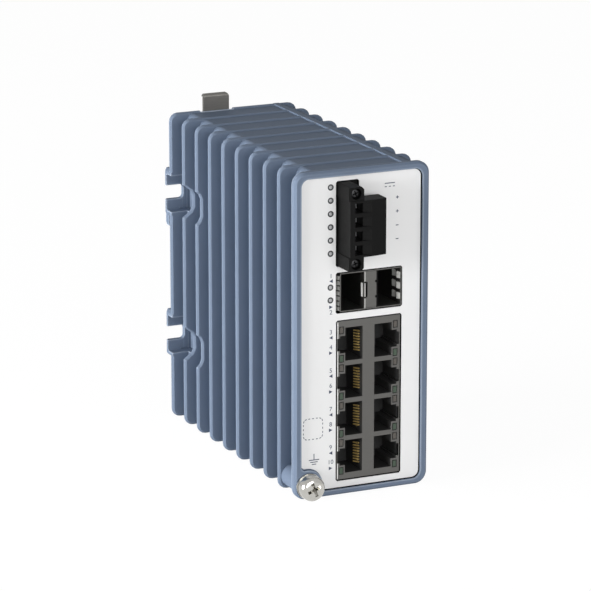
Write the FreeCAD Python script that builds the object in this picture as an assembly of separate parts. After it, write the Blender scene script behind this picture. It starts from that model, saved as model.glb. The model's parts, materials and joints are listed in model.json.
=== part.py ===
import FreeCAD, Part
import math
import os

os.makedirs("parts", exist_ok=True)

# A network switch for a 35 mm rail: a die-cast finned housing with its ports on the front
# flange, a finned side cover, the boards and connectors inside, and a sprung latch at the back.
# Millimetres. While modelling, X is to the right, Y to the back from the label's face, Z up from
# the flange's lower edge. On export Y is shifted so that the origin is at the bottom's centre.

# Front flange and label
flange_width = 53.0
flange_thickness = 2.6
flange_corner = 4.5
flange_edge = 0.9
rim_height = 1.2
rim_width = 3.1
rim_base = 2.55
rim_top = 2.8
top_margin = 4.8
label_thickness = 0.4
label_corner = 2.6
label_gap = 0.35
opening_corner = 0.5
web_thickness = 2.5

# Fins, which run round the box as thin plates
fin_count = 9
fin_pitch = 12.36
fin_first = 13.9
fin_thickness = 2.1
fin_inset = 0.3
fin_corner = 3.2
fin_corner_flats = 4
fin_edge = 0.6
rib_height = 0.6

# Box behind the flange, open on the right, where the side cover closes it
wall = 2.3
wall_fin_depth = 6.6
box_corner = 4.6
rear_wall = 3.85
seam_gap = 0.1

# Side cover and its screws, in line with gaps between the fins
cover_fin_depth = 6.6
cover_thickness = 2.4
cover_clearance = 1.4
cover_rib = 2.4
cover_rib_height = 2.8
cover_gaps = (1, 5)
cover_boss = 7.0
cover_boss_length = 9.0
cover_boss_sunk = 0.6
cover_boss_gap = 0.7
cover_screw_head = 5.6
cover_screw_length = 9.0

# Rear lugs with open screw slots, and hooks for the rail
slot_height = 5.5
slot_pitch = 55.6
slot_raise = 0.5
slot_wall = 2.0
slot_corner = 1.5
lug_height = 18.2
lug_recess = 14.0
lug_reach = 4.65
lug_wall = 2.1
lug_shift = 0.3
lug_bevel = 1.0
recess_bevel = 0.6
hook_inset = 0.6
scoop_depths = (4.0, 2.0)
scoop_floor = (6.6, 8.8)
scoop_mouth = 12.8
scoop_flare = 0.8
scoop_round = 1.1

# 35 mm rail
rail_height = 35.0
rail_lip = 1.0
rail_slack = 0.5
hook_overlap = 2.0

# Sprung latch plate in its channel in the rear wall
latch_x = -6.9
latch_width = 10.6
latch_sheet = 1.0
latch_tab = 5.9
latch_travel = 4.0
latch_corner = 1.6
lip_reach = 1.7
lip_roll = 0.75
channel_gap = 0.35
channel_depth = 1.25
notch_width = 13.6
spring_outer = 3.2
spring_wire = 0.45
spring_length = 13.0
spring_turns = 6
guide_slot_width = 3.4
guide_below_top = 12.0
guide_below_rail = 1.0
guide_head = 5.6
spring_above_rail = 23.0

# Ground screw
ground_inset = 5.4
ground_z = 5.1
ground_boss = 8.4
ground_thread = 5.0
ground_head = 9.2
ground_head_height = 3.6
ground_arc = 6.0
washer_outer = 9.6
washer_sheet = 0.9
lock_washer_sheet = 1.2

# Status lights beside the label's left margin
light_margin = 2.66
light_pitch = 4.81
light_raise = 13.6
light_count = 6
slot_light_raises = (2.4, -2.3)
light_diameter = 2.0
light_gap = 0.1

# Main board, upright behind the status lights
board_pad = 6.4
board_sheet = 1.6
board_front = 5.5
board_rear_gap = 10.0
board_margin = 1.6
front_pad_y = 24.0
front_pad_below = 11.5

# Port block: two columns of jacks in one stamped shield
jack_pitch = 13.97
jack_rows = 4
jack_height = 12.2
jack_side = 0.35
jack_tab_height = 6.3
jack_tab_width = 2.1
jack_step_height = 4.6
jack_step_width = 0.9
jack_depth = 13.0
port_clearance = 2.1
port_low_margin = 2.29
port_top_margin = 2.6
port_band = 4.7
port_gap = 0.35
shield_sheet = 0.3
contact_count = 8
contact_pitch = 1.02
contact_wire = 0.42
contact_start = 2.6
contact_foot = 1.3
contact_end = 4.6
contact_reach = 1.2
port_window = (1.9, 2.8)
port_window_side = 1.45
port_window_offset = 5.25
port_lamp_gap = 0.3

# Stacked pair of module cages, turned on their sides
cage_inset = 0.4
cage_height = 14.2
cage_depth = 48.0
cage_margin = 3.4
cage_shift = 0.75
cage_sheet = 0.35
cage_slot_width = 9.1
cage_gap = 0.35
tongue_height = 5.0
tongue_bend = 0.45
strip_notch = 1.0
spring_height = 2.4
spring_pitch = 3.85
spring_bend = 0.7
gasket_reach = 1.25
gasket_sheet = 0.25
cage_opening_shift = 0.5

# Power terminal: header on the board and a pluggable block in front of it
terminal_margin = 2.9
terminal_pitch = 5.08
terminal_poles = 4
header_width = 8.0
header_ear = 2.5
header_depth = 12.0
header_wall = 0.8
plug_front = 10.2
plug_depth = 7.3
plug_shift = 0.2
plug_width = 14.4
plug_overhang = 0.04
plug_flange_width = 5.5
plug_nose_depth = 7.8
entry_width = 3.3
entry_height = 3.6
entry_depth = 5.5
pocket_width = 3.0
pocket_depth = 0.95
entry_margin = 1.95
plug_flange_step = 0.3
flange_screw = 2.5
flange_screw_shift = 1.2
flange_screw_sunk = 3.0
flange_screw_head = 3.8
flange_screw_well = 4.2
terminal_gap = 0.35

# Power board, parallel to the main one
board_spacing = 20.5
power_front = 52.0
power_rear_gap = 2.0
power_edge = 6.0
post_width = 6.6
post_inset = 4.5
board_screw = 3.0
screw_clearance = 0.1
board_screw_head = 5.4
board_screw_grip = 2.6

# Worked out from the sizes above
flange_front = -rim_height
flange_back = flange_front + flange_thickness
half_width = flange_width / 2
ground_x = -half_width + ground_inset
web_front = label_thickness
web_back = web_front + web_thickness
fin_left = -half_width + fin_inset
fin_right = half_width - fin_inset
fin_low = fin_inset
room_low = fin_low + rib_height + wall
fin_last = fin_first + (fin_count - 1) * fin_pitch
rear_face = fin_last + fin_thickness / 2
lug_face = rear_face + lug_reach
room_rear = rear_face - rear_wall
box_left = fin_left + wall_fin_depth
room_left = box_left + wall
cover_outer = fin_right - cover_fin_depth
cover_seam = cover_outer - cover_thickness
cover_screw_ys = [fin_first + (i + 0.5) * fin_pitch for i in cover_gaps]
slot_depth = cover_fin_depth + cover_thickness - slot_wall
board_left = room_left + board_pad
board_x = board_left + board_sheet
board_rear = room_rear - board_rear_gap
port_x = board_x
port_right = cover_seam - cover_clearance
port_width = port_right - port_x
port_depth = cover_screw_ys[0] - cover_boss / 2 - cover_boss_gap
jack_width = (port_width - port_band) / 2 - jack_tab_width - jack_step_width - jack_side
header_height = (terminal_poles + 1) * terminal_pitch + 2 * header_ear
plug_body_height = terminal_poles * terminal_pitch + 2 * plug_overhang
plug_flange_height = header_height + 2 * plug_overhang
port_low = room_low + port_clearance
jack_zs = [
    port_low + port_low_margin + jack_height / 2 + (jack_rows - 1 - i) * jack_pitch
    for i in range(jack_rows)
]
port_high = jack_zs[0] + jack_height / 2 + port_top_margin
port_height = port_high - port_low
cage_width = port_width - 2 * cage_inset
cage_x = port_x + cage_inset + cage_shift
cage_z = port_high + cage_margin + cage_height / 2
cage_opening_left = port_x - cage_opening_shift
terminal_z = cage_z + cage_height / 2 + terminal_margin + header_height / 2
flange_height = terminal_z + header_height / 2 + top_margin
fin_high = flange_height - fin_inset
box_low = fin_low + rib_height
box_high = fin_high - rib_height
room_high = box_high - wall
rail_middle = flange_height / 2
slot_middle = rail_middle + slot_raise
slot_zs = (slot_middle - slot_pitch / 2, slot_middle + slot_pitch / 2)
rail_low = rail_middle - rail_height / 2
rail_high = rail_middle + rail_height / 2
latch_top = flange_height + latch_tab
guide_screw_zs = (flange_height - guide_below_top, rail_middle - guide_below_rail)
board_low = room_low + board_margin
board_high = room_high - board_margin
power_board_x = board_x + board_spacing
power_rear = room_rear - power_rear_gap
light_x = board_x - light_margin
light_zs = [terminal_z + light_raise - i * light_pitch for i in range(light_count)]
light_zs += [cage_z + raised for raised in slot_light_raises]
plug_y = -plug_front
plug_left = board_x + plug_shift
plug_right = plug_left + plug_width
origin_y = (plug_y + lug_face) / 2


def save(name, shapes):
    """Write one or more separate solids as one node, with the origin at the bottom's centre."""
    if not isinstance(shapes, (list, tuple)):
        shapes = [shapes]
    solids = []
    for shape in shapes:
        solids += shape.Solids
    whole = solids[0] if len(solids) == 1 else Part.makeCompound(solids)
    moved = whole.copy()
    moved.translate(FreeCAD.Vector(0, -origin_y, 0))
    moved.exportStep("parts/" + name + ".step")


def block(x0, x1, y0, y1, z0, z1):
    return Part.makeBox(x1 - x0, y1 - y0, z1 - z0, FreeCAD.Vector(x0, y0, z0))


def rod_y(x, z, y0, y1, diameter):
    return Part.makeCylinder(diameter / 2, y1 - y0, FreeCAD.Vector(x, y0, z), FreeCAD.Vector(0, 1, 0))


def rod_x(y, z, x0, x1, diameter):
    return Part.makeCylinder(diameter / 2, x1 - x0, FreeCAD.Vector(x0, y, z), FreeCAD.Vector(1, 0, 0))


def fuse(shapes):
    whole = shapes[0].fuse(shapes[1:]) if len(shapes) > 1 else shapes[0]
    return whole.removeSplitter()


def prism(points, axis, start, length):
    """Extrude a closed outline along an axis. Points give the two other coordinates in order."""
    places = {
        "x": lambda a, b: FreeCAD.Vector(start, a, b),
        "y": lambda a, b: FreeCAD.Vector(a, start, b),
        "z": lambda a, b: FreeCAD.Vector(a, b, start),
    }
    reach = {
        "x": FreeCAD.Vector(length, 0, 0),
        "y": FreeCAD.Vector(0, length, 0),
        "z": FreeCAD.Vector(0, 0, length),
    }
    corners = [places[axis](a, b) for a, b in points]
    wire = Part.makePolygon(corners + corners[:1])
    return Part.Face(wire).extrude(reach[axis])


def edges_along(shape, direction, test=None):
    """Straight edges parallel to a direction, kept where the test on their middle says so."""
    found = []
    for edge in shape.Edges:
        if not isinstance(edge.Curve, Part.Line):
            continue
        if edge.tangentAt(edge.FirstParameter).cross(direction).Length > 1e-6:
            continue
        if test is None or test(edge.CenterOfMass):
            found.append(edge)
    return found


along_x = FreeCAD.Vector(1, 0, 0)
along_y = FreeCAD.Vector(0, 1, 0)
along_z = FreeCAD.Vector(0, 0, 1)


def rounded_plate(x0, x1, y0, y1, z0, z1, radius):
    """A plate across Y with its four corners rounded."""
    plate = block(x0, x1, y0, y1, z0, z1)
    return plate.makeFillet(radius, edges_along(plate, along_y))


def many_sided(diameter, z0, z1):
    """A slim eight-sided prism, used for the small fasteners and their holes."""
    sides = 8
    turns = [2 * math.pi * i / sides for i in range(sides)]
    ring = [(diameter / 2 * math.cos(turn), diameter / 2 * math.sin(turn)) for turn in turns]
    return prism(ring, "z", z0, z1 - z0)


def small_hole_x(y, z, x0, x1, diameter):
    """A many-sided hole along X for a small screw."""
    hole = many_sided(diameter, 0, x1 - x0)
    return aim(hole, FreeCAD.Vector(x0, y, z), along_x)


def small_hole_y(x, z, y0, y1, diameter):
    """A many-sided hole along Y for a small screw."""
    hole = many_sided(diameter, 0, y1 - y0)
    return aim(hole, FreeCAD.Vector(x, y0, z), along_y)


def small_screw(diameter, length, head, head_height):
    """A small pan-head screw along +Z: shank below z = 0 and bevelled head above."""
    crown = many_sided(head, 0, head_height)
    top = [edge for edge in crown.Edges if abs(edge.CenterOfMass.z - head_height) < 1e-6]
    crown = crown.makeChamfer(head_height * 0.3, top)
    return crown.fuse(many_sided(diameter, -length, 0))


def pan_screw(diameter, length, head, head_height):
    """A pan-head screw along +Z: shank below z = 0, crowned head above, with a cross recess."""
    radius = head / 2
    section = [
        (0, -length),
        (diameter / 2, -length),
        (diameter / 2, 0),
        (radius, 0),
        (radius, head_height * 0.55),
        (radius * 0.86, head_height * 0.87),
        (radius * 0.6, head_height),
        (0, head_height),
    ]
    corners = [FreeCAD.Vector(a, 0, b) for a, b in section]
    face = Part.Face(Part.makePolygon(corners + corners[:1]))
    whole = face.revolve(FreeCAD.Vector(0, 0, 0), along_z, 360)
    arm = head * 0.3
    slot = head * 0.11
    sunk = head_height * 0.55
    cross = Part.makeBox(2 * arm, slot, sunk, FreeCAD.Vector(-arm, -slot / 2, head_height - sunk))
    other = Part.makeBox(slot, 2 * arm, sunk, FreeCAD.Vector(-slot / 2, -arm, head_height - sunk))
    return whole.cut([cross.fuse(other).removeSplitter()])


def aim(shape, place, direction):
    """Turn a piece made along +Z so that it points in a direction, and put it in place."""
    turned = shape.copy()
    turned.Placement = FreeCAD.Placement(place, FreeCAD.Rotation(along_z, direction))
    return turned


# Outline of the label, and of the recess that it lies in

def label_plate(y0, y1, grow):
    x0 = -half_width + rim_width - grow
    z0 = rim_base - grow
    z1 = flange_height - rim_top + grow
    plate = block(x0, -x0, y0, y1, z0, z1)
    plate = plate.cut(rod_y(ground_x, ground_z, y0 - 1, y1 + 1, 2 * (ground_arc - grow)))
    near = ground_arc + 6
    def by_screw(point):
        return math.hypot(point.x - ground_x, point.z - ground_z) < near
    outer = edges_along(plate, along_y, lambda point: not by_screw(point))
    plate = plate.makeFillet(label_corner + grow, outer)
    inner = edges_along(plate, along_y, by_screw)
    return plate.makeFillet(label_corner * 0.6, inner)


def front_openings(y0, y1, grow):
    """The cut-outs for the terminal, the cages and the ports."""
    terminal = block(
        cage_opening_left - grow, board_x + header_width + terminal_gap + grow, y0, y1,
        terminal_z - header_height / 2 - terminal_gap - grow,
        terminal_z + header_height / 2 + terminal_gap + grow,
    )
    cages = block(
        cage_opening_left - grow, cage_x + cage_width + cage_gap / 2 + grow, y0, y1,
        cage_z - cage_height / 2 - cage_gap - grow, cage_z + cage_height / 2 + cage_gap + grow,
    )
    ports = block(
        port_x - port_gap - grow, port_x + port_width + port_gap + grow, y0, y1,
        port_low - port_gap - grow, port_low + port_height + port_gap + grow,
    )
    return [
        opening.makeChamfer(opening_corner + grow, edges_along(opening, along_y))
        for opening in (terminal, cages, ports)
    ]


def light_slots(y0, y1):
    """The casting has one slot behind each row of lights."""
    half = light_diameter / 2 + light_gap
    rows = [light_zs[:light_count], light_zs[light_count:]]
    return [
        block(light_x - half, light_x + half, y0, y1, min(row) - half, max(row) + half)
        for row in rows
    ]


# Cast fins

def fin_profile(outer, inner, side):
    """The fin's outline, with each outer corner rounded in a few flats."""
    points = [(inner, fin_low)]
    for end, way in ((fin_low, 1), (fin_high, -1)):
        corner = []
        for i in range(fin_corner_flats + 1):
            turn = math.pi / 2 * i / fin_corner_flats
            corner.append(
                (
                    outer + side * fin_corner * (1 - math.sin(turn)),
                    end + way * fin_corner * (1 - math.cos(turn)),
                )
            )
        points += corner if way > 0 else corner[::-1]
    return points + [(inner, fin_high)]


def eased(points, cut):
    """The outline with each inner corner taken off by a short flat."""
    result = [points[0]]
    for before, here, after in zip(points, points[1:], points[2:]):
        for other in (before, after):
            away = math.dist(here, other)
            share = min(cut, 0.4 * away) / away
            result.append(tuple(h + share * (o - h) for h, o in zip(here, other)))
    return result + [points[-1]]


def fin_plate(right, scoops):
    """One fin, from the housing's outer edge to the seam or from the cover to its outer edge."""
    inner = cover_seam if not right else cover_outer - 0.5
    outer = fin_right if right else fin_left
    side = -1 if right else 1
    plate = prism(fin_profile(outer, inner, side), "y", -fin_thickness / 2, fin_thickness)
    for z in slot_zs if scoops else ():
        depth, floor = scoops
        outline = [
            (outer - side, z + scoop_mouth / 2 + scoop_flare),
            (outer, z + scoop_mouth / 2),
            (outer + side * depth, z + floor / 2),
            (outer + side * depth, z - floor / 2),
            (outer, z - scoop_mouth / 2),
            (outer - side, z - scoop_mouth / 2 - scoop_flare),
        ]
        scoop = eased(outline, scoop_round)
        plate = plate.cut(prism(scoop, "y", -fin_thickness, 2 * fin_thickness))
    rim = [
        edge for edge in plate.Edges
        if abs(abs(edge.CenterOfMass.y) - fin_thickness / 2) < 1e-6
        and abs(edge.CenterOfMass.x - inner) > 1e-3
    ]
    return plate.makeChamfer(fin_edge, rim)


def fins(right):
    """All the fins of one casting. The two in front of the rear one have driver scoops."""
    plain = fin_plate(right, None)
    placed = []
    for i in range(fin_count):
        from_rear = fin_count - 1 - i
        fin = plain
        if 1 <= from_rear <= len(scoop_depths):
            fin = fin_plate(right, (scoop_depths[from_rear - 1], scoop_floor[from_rear - 1]))
        fin = fin.copy()
        fin.translate(FreeCAD.Vector(0, fin_first + i * fin_pitch, 0))
        placed.append(fin)
    return placed


# Rear lugs

def lug(z, side, inner, hooked):
    """A lug that steps back from the rear fin, with what it adds and what it cuts away."""
    outer = side * half_width - side * fin_inset
    x0, x1 = sorted((outer, inner))
    low = z - lug_height / 2 + lug_shift
    high = z + lug_height / 2 + lug_shift
    body = block(x0, x1, rear_face - fin_thickness, lug_face, low, high)
    rounded = edges_along(body, along_z, lambda p: abs(p.x - outer) < 1e-6 and p.y > rear_face)
    rounded += edges_along(body, along_y, lambda p: abs(p.x - outer) < 1e-6)
    body = body.makeChamfer(lug_bevel, rounded)
    if hooked:
        nose_front = rear_face + rail_lip + rail_slack
        tip = rail_high - hook_overlap
        nose = prism(
            [
                (nose_front, low + 1),
                (lug_face, low + 1),
                (lug_face, tip + 1.2),
                (lug_face - 1.0, tip),
                (nose_front, tip),
            ],
            "x", x0 + hook_inset, x1 - x0 - 2 * hook_inset,
        )
        body = body.fuse(nose)
    recess_inner = inner + side * lug_wall
    r0, r1 = sorted((outer + side, recess_inner))
    recess_low = z - lug_recess / 2 + lug_shift
    recess = block(
        r0, r1, rear_face - fin_thickness - 1, lug_face - lug_wall, recess_low,
        recess_low + lug_recess,
    )
    recess = recess.makeChamfer(
        recess_bevel, edges_along(recess, along_x, lambda p: p.y > rear_face)
    )
    s0, s1 = sorted((outer + 2 * side, outer - side * slot_depth))
    slot = block(s0, s1, rear_face, lug_face + 1, z - slot_height / 2, z + slot_height / 2)
    deep = outer - side * slot_depth
    slot = slot.makeFillet(slot_corner, edges_along(slot, along_y, lambda p: abs(p.x - deep) < 1e-6))
    return body, [recess, slot]


def lugs(side, inner):
    """Both lugs of one side. The upper one carries the hook for the rail's upper lip."""
    bodies = []
    cuts = []
    for z, hooked in zip(slot_zs, (False, True)):
        body, tools = lug(z, side, inner, hooked)
        bodies.append(body)
        cuts += tools
    return bodies, cuts


# Latch channel in the rear wall, shared by the housing and the latch

channel_floor = rear_face - channel_depth
latch_rear = channel_floor + 0.15 + latch_sheet
latch_front = latch_rear - latch_sheet
jaw_inner = rear_face + rail_lip + rail_slack
jaw_tip = rail_low + hook_overlap
jaw_bend = 1.3
jaw_low = rail_low - 2.4
channel_low = jaw_low - latch_travel - 1.5
spring_top = rail_high + spring_above_rail
spring_low = spring_top - spring_length
window_width = spring_outer + 0.6
post_height = 3.0


def latch_channel():
    half = latch_width / 2 + channel_gap
    way = block(
        latch_x - half, latch_x + half, channel_floor, rear_face + 1, channel_low, fin_high + 1
    )
    mouth = block(
        latch_x - notch_width / 2, latch_x + notch_width / 2, channel_floor - 0.5, rear_face + 1,
        room_high, fin_high + 1,
    )
    mouth = mouth.makeFillet(1.0, edges_along(mouth, along_y, lambda p: p.z < room_high + 1))
    pocket = block(
        latch_x - window_width / 2, latch_x + window_width / 2,
        latch_front + latch_sheet / 2 - spring_outer / 2 - 0.2, rear_face + 1,
        spring_low, spring_top + 1,
    )
    holes = [
        small_hole_y(latch_x, z, rear_face - rear_wall + 0.6, rear_face + 1, board_screw)
        for z in guide_screw_zs
    ]
    return [way, mouth, pocket] + holes


def latch_post():
    """The cast post in the plate's window, which the spring stands on."""
    width = window_width - 0.6
    return block(
        latch_x - width / 2, latch_x + width / 2, channel_floor - 0.5, latch_rear + 0.3,
        spring_low - post_height, spring_low,
    )


# Heights of the cover's screws, the power board and the posts that carry the boards

boss_in = cover_boss / 2 - cover_boss_sunk
cover_screw_zs = (room_low + boss_in, room_high - boss_in)
power_low = cover_screw_zs[0] + cover_boss / 2 + 1.0
power_high = cover_screw_zs[1] - cover_boss / 2 - 1.0
post_zs = (power_low + post_inset, power_high - post_inset)
power_points = [((board_rear + room_rear) / 2, z) for z in post_zs]
board_points = [(board_rear - power_edge, z) for z in post_zs]
board_points.append((front_pad_y, terminal_z - front_pad_below))


def main_housing():
    """The die-cast body: flange, front web, box walls, left fins, rear wall and left lugs."""
    flange = rounded_plate(
        -half_width, half_width, flange_front, flange_back, 0, flange_height, flange_corner
    )
    front_rim = [e for e in flange.Edges if abs(e.CenterOfMass.y - flange_front) < 1e-6]
    flange = flange.makeChamfer(flange_edge, front_rim)
    flange = flange.cut(label_plate(flange_front - 1, web_front, label_gap))
    box = block(box_left, cover_seam, flange_back - 0.5, rear_face, box_low, box_high)
    corners = edges_along(box, along_y, lambda point: abs(point.x - box_left) < 1e-6)
    box = box.makeFillet(box_corner, corners)
    bodies, cuts = lugs(-1, box_left + lug_wall)
    boss = rod_y(ground_x, ground_z, flange_back - 0.5, fin_first, ground_boss)
    whole = fuse([box, flange, boss] + fins(False) + bodies)
    room = block(room_left, cover_seam + 1, web_back, room_rear, room_low, room_high)
    whole = whole.cut([room] + cuts + latch_channel())
    inside = [latch_post()]
    half = post_width / 2
    for y, z in board_points:
        inside.append(block(room_left - 0.5, board_left, y - half, y + half, z - half, z + half))
    for y, z in power_points:
        inside.append(
            block(room_left - 0.5, power_board_x, board_rear + 0.8, room_rear + 0.5, z - half, z + half)
        )
    for spot in (switch_chip_at, processor_at):
        boss_end = board_left - chip_sheet - pad_sheet
        inside.append(square_chip(spot, room_left - 0.5, boss_end, pad_inset))
    half = cover_boss / 2
    for y in cover_screw_ys:
        for z in cover_screw_zs:
            inside.append(
                block(cover_seam - cover_boss_length, cover_seam, y - half, y + half, z - half, z + half)
            )
    whole = fuse([whole] + inside)
    holes = [
        rod_y(ground_x, ground_z, flange_front - 1, fin_first, ground_thread + 2 * screw_clearance)
    ]
    hole = board_screw + 2 * screw_clearance
    for y, z in board_points:
        holes.append(small_hole_x(y, z, board_left - board_screw_grip, board_left + 1, hole))
    for y, z in power_points:
        deep = power_board_x - 2 * board_screw_grip
        holes.append(small_hole_x(y, z, deep, power_board_x + 1, hole))
    for y in cover_screw_ys:
        for z in cover_screw_zs:
            deep = cover_seam - cover_screw_length + 0.5
            holes.append(small_hole_x(y, z, deep, cover_seam + 1, hole))
    openings = front_openings(web_front - 1, web_back + 1, 0)
    return whole.cut(holes + openings + light_slots(web_front - 1, web_back + 1))


def side_cover():
    """The finned cast cover on the right, with its two lugs and pockets for its screws."""
    front = flange_back + seam_gap
    plate = block(cover_seam, cover_outer, front, rear_face, fin_low, fin_high)
    ribs = []
    for z0, z1 in ((box_low, box_low + cover_rib_height), (box_high - cover_rib_height, box_high)):
        rib = block(cover_outer - 0.5, cover_outer + cover_rib, front, rear_face, z0, z1)
        ribs.append(rib)
    bodies, cuts = lugs(1, cover_seam + seam_gap)
    whole = fuse([plate] + ribs + fins(True) + bodies)
    tools = []
    for y in cover_screw_ys:
        for z, toward in zip(cover_screw_zs, (-1, 1)):
            pocket = cover_screw_head / 2 + 0.4
            z0, z1 = sorted((z - toward * pocket, z + toward * 4 * pocket))
            tools.append(block(cover_outer, cover_outer + cover_rib + 1, y - pocket, y + pocket, z0, z1))
            hole = board_screw + 4 * screw_clearance
            tools.append(small_hole_x(y, z, cover_seam - 1, cover_outer + 1, hole))
    return whole.cut(tools + cuts)


def cover_screws():
    screw = small_screw(board_screw, cover_thickness + cover_screw_length - 1.5, cover_screw_head, 2.0)
    return [
        aim(screw, FreeCAD.Vector(cover_outer, y, z), along_x)
        for y in cover_screw_ys for z in cover_screw_zs
    ]


def front_label():
    plate = label_plate(0, label_thickness, 0)
    return plate.cut(front_openings(-1, label_thickness + 1, 0.1))


def status_light_pipes():
    """A short clear rod for each light, from just before its diode to the label's clear window."""
    half = light_diameter / 2
    return [
        block(light_x - half, light_x + half, label_thickness, board_front - 0.3, z - half, z + half)
        for z in light_zs
    ]


def status_leds():
    return [
        block(board_left - 2.1, board_left, board_front, board_front + 1.7, z - 0.8, z + 0.8)
        for z in light_zs
    ]


def main_board():
    board = block(board_left, board_x, board_front, board_rear, board_low, board_high)
    holes = [
        small_hole_x(y, z, board_left - 1, board_x + 1, board_screw + 4 * screw_clearance)
        for y, z in board_points
    ]
    return board.cut(holes)


def power_board():
    board = block(
        power_board_x, power_board_x + board_sheet, power_front, power_rear, power_low, power_high
    )
    holes = [
        small_hole_x(y, z, power_board_x - 1, power_board_x + board_sheet + 1,
                     board_screw + 4 * screw_clearance)
        for y, z in power_points
    ]
    return board.cut(holes)


def board_screws():
    """Three screws hold the main board on its pads and two hold the power board on its posts."""
    placed = []
    for face, grip, points in (
        (board_x, board_screw_grip, board_points),
        (power_board_x + board_sheet, 2 * board_screw_grip, power_points),
    ):
        screw = small_screw(board_screw, board_sheet + grip - 0.4, board_screw_head, 1.9)
        placed += [aim(screw, FreeCAD.Vector(face, y, z), along_x) for y, z in points]
    return placed


# Port block

port_middle = port_x + port_width / 2
port_front = 0.2
block_front = port_front + shield_sheet


def jack_columns():
    """For each column: the wall with the contacts, and the way that the tab side faces."""
    return [(port_middle - port_band / 2, -1), (port_middle + port_band / 2, 1)]


def jack_hollows(y0, y1):
    """Each jack's mouth: a wide part for the plug and a narrower one for its tab."""
    hollows = []
    for wall_x, side in jack_columns():
        for z in jack_zs:
            shoulder = wall_x + side * jack_width
            deep = shoulder + side * jack_tab_width
            x0, x1 = sorted((wall_x, shoulder))
            main = block(x0, x1, y0, y1, z - jack_height / 2, z + jack_height / 2)
            x0, x1 = sorted((wall_x + side, deep))
            tab = block(x0, x1, y0, y1, z - jack_tab_height / 2, z + jack_tab_height / 2)
            x0, x1 = sorted((wall_x + side, deep + side * jack_step_width))
            step = block(x0, x1, y0, y1, z - jack_step_height / 2, z + jack_step_height / 2)
            hollows.append(main.fuse([tab, step]).removeSplitter())
    return hollows


def port_windows(y0, y1, grow, upper):
    """The small light windows in the corners beside each jack's tab."""
    windows = []
    width, height = port_window
    for wall_x, side in jack_columns():
        middle = wall_x + side * (jack_width + port_window_side)
        for z in jack_zs:
            centre = z + (port_window_offset if upper else -port_window_offset)
            windows.append(
                block(
                    middle - width / 2 - grow, middle + width / 2 + grow, y0, y1,
                    centre - height / 2 - grow, centre + height / 2 + grow,
                )
            )
    return windows


def port_shield():
    """The stamped shield: a thin box open at the back and on the board's side."""
    x1 = port_x + port_width
    z1 = port_low + port_height
    outer = block(port_x, x1, port_front, port_front + port_depth, port_low, z1)
    hollow = block(
        port_x - 1, x1 - shield_sheet, block_front, port_front + port_depth + 1,
        port_low + shield_sheet, z1 - shield_sheet,
    )
    shell = outer.cut(hollow)
    shell = shell.cut(jack_hollows(port_front - 1, block_front + 1))
    for upper in (True, False):
        shell = shell.cut(port_windows(port_front - 1, block_front + 1, 0, upper))
    return shell


def port_insulator():
    """The moulded block inside the shield, with a cavity for each jack and its lights."""
    x1 = port_x + port_width - shield_sheet
    z1 = port_low + port_height - shield_sheet
    body = block(
        port_x, x1, block_front, port_front + port_depth - 1.0, port_low + shield_sheet, z1
    )
    body = body.cut(jack_hollows(block_front - 1, block_front + jack_depth))
    for upper in (True, False):
        grow = 0.1 - port_lamp_gap
        body = body.cut(port_windows(block_front - 1, block_front + jack_depth, grow, upper))
    return body


def port_lights(upper):
    return port_windows(port_front + 0.1, block_front + jack_depth, -port_lamp_gap, upper)


def port_contacts():
    """Sprung contact wires, each with its foot on the jack's wall and its free end slanting out."""
    wires = []
    for wall_x, side in jack_columns():
        far = wall_x + side * contact_reach
        thick = side * contact_wire
        for z in jack_zs:
            for i in range(contact_count):
                low = z + (i - (contact_count - 1) / 2) * contact_pitch - contact_wire / 2
                line = [
                    (wall_x, contact_start),
                    (wall_x + thick, contact_start),
                    (far + thick, contact_end),
                    (far, contact_end),
                    (wall_x, contact_start + contact_foot),
                ]
                wires.append(prism(line, "z", low, contact_wire))
    return wires


# Module cages

cage_low = cage_z - cage_height / 2
cage_right = cage_x + cage_width
cage_front = 0.1


def cage_slots():
    """Left and right edges of the two module slots."""
    left = cage_x + cage_sheet
    right = cage_right - cage_sheet
    return [(left, left + cage_slot_width), (right - cage_slot_width, right)]


def cage_shell():
    """The folded cage: two module tunnels either side of a middle channel."""
    outer = block(cage_x, cage_right, cage_front, cage_front + cage_depth, cage_low, cage_low + cage_height)
    low = cage_low + cage_sheet
    high = cage_low + cage_height - cage_sheet
    tools = [
        block(x0, x1, cage_front - 1, cage_front + cage_depth - cage_sheet, low, high)
        for x0, x1 in cage_slots()
    ]
    m0 = cage_slots()[0][1] + cage_sheet
    m1 = cage_slots()[1][0] - cage_sheet
    tools.append(block(m0, m1, cage_front - 1, cage_front + cage_depth + 1, low, high))
    tongues = []
    for inner, side in ((m0, -1), (m1, 1)):
        outside = inner + side * cage_sheet
        line = [
            (outside - side * 0.1, cage_front + 0.25),
            (outside, cage_front + 0.25),
            (outside + side * tongue_bend, cage_front + 1.45),
            (outside + side * tongue_bend, cage_front + 1.8),
            (outside, cage_front + 3.1),
            (outside - side * 0.1, cage_front + 3.1),
        ]
        tongues.append(prism(line, "z", cage_z - tongue_height / 2, tongue_height))
    return fuse([outer.cut(tools)] + tongues)


def cage_springs():
    """Three rows of bowed contact springs, two deep, on the outer wall of the right-hand slot."""
    wall_x = cage_right - cage_sheet
    springs = []
    for row in (-1, 0, 1):
        low = cage_z + row * spring_pitch - spring_height / 2
        for front in (cage_front + 0.3, cage_front + 3.9):
            line = [
                (wall_x, front),
                (wall_x - spring_bend, front + 1.6),
                (wall_x - spring_bend, front + 1.9),
                (wall_x, front + 2.6),
            ]
            springs.append(prism(line, "z", low, spring_height))
    return springs


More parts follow.
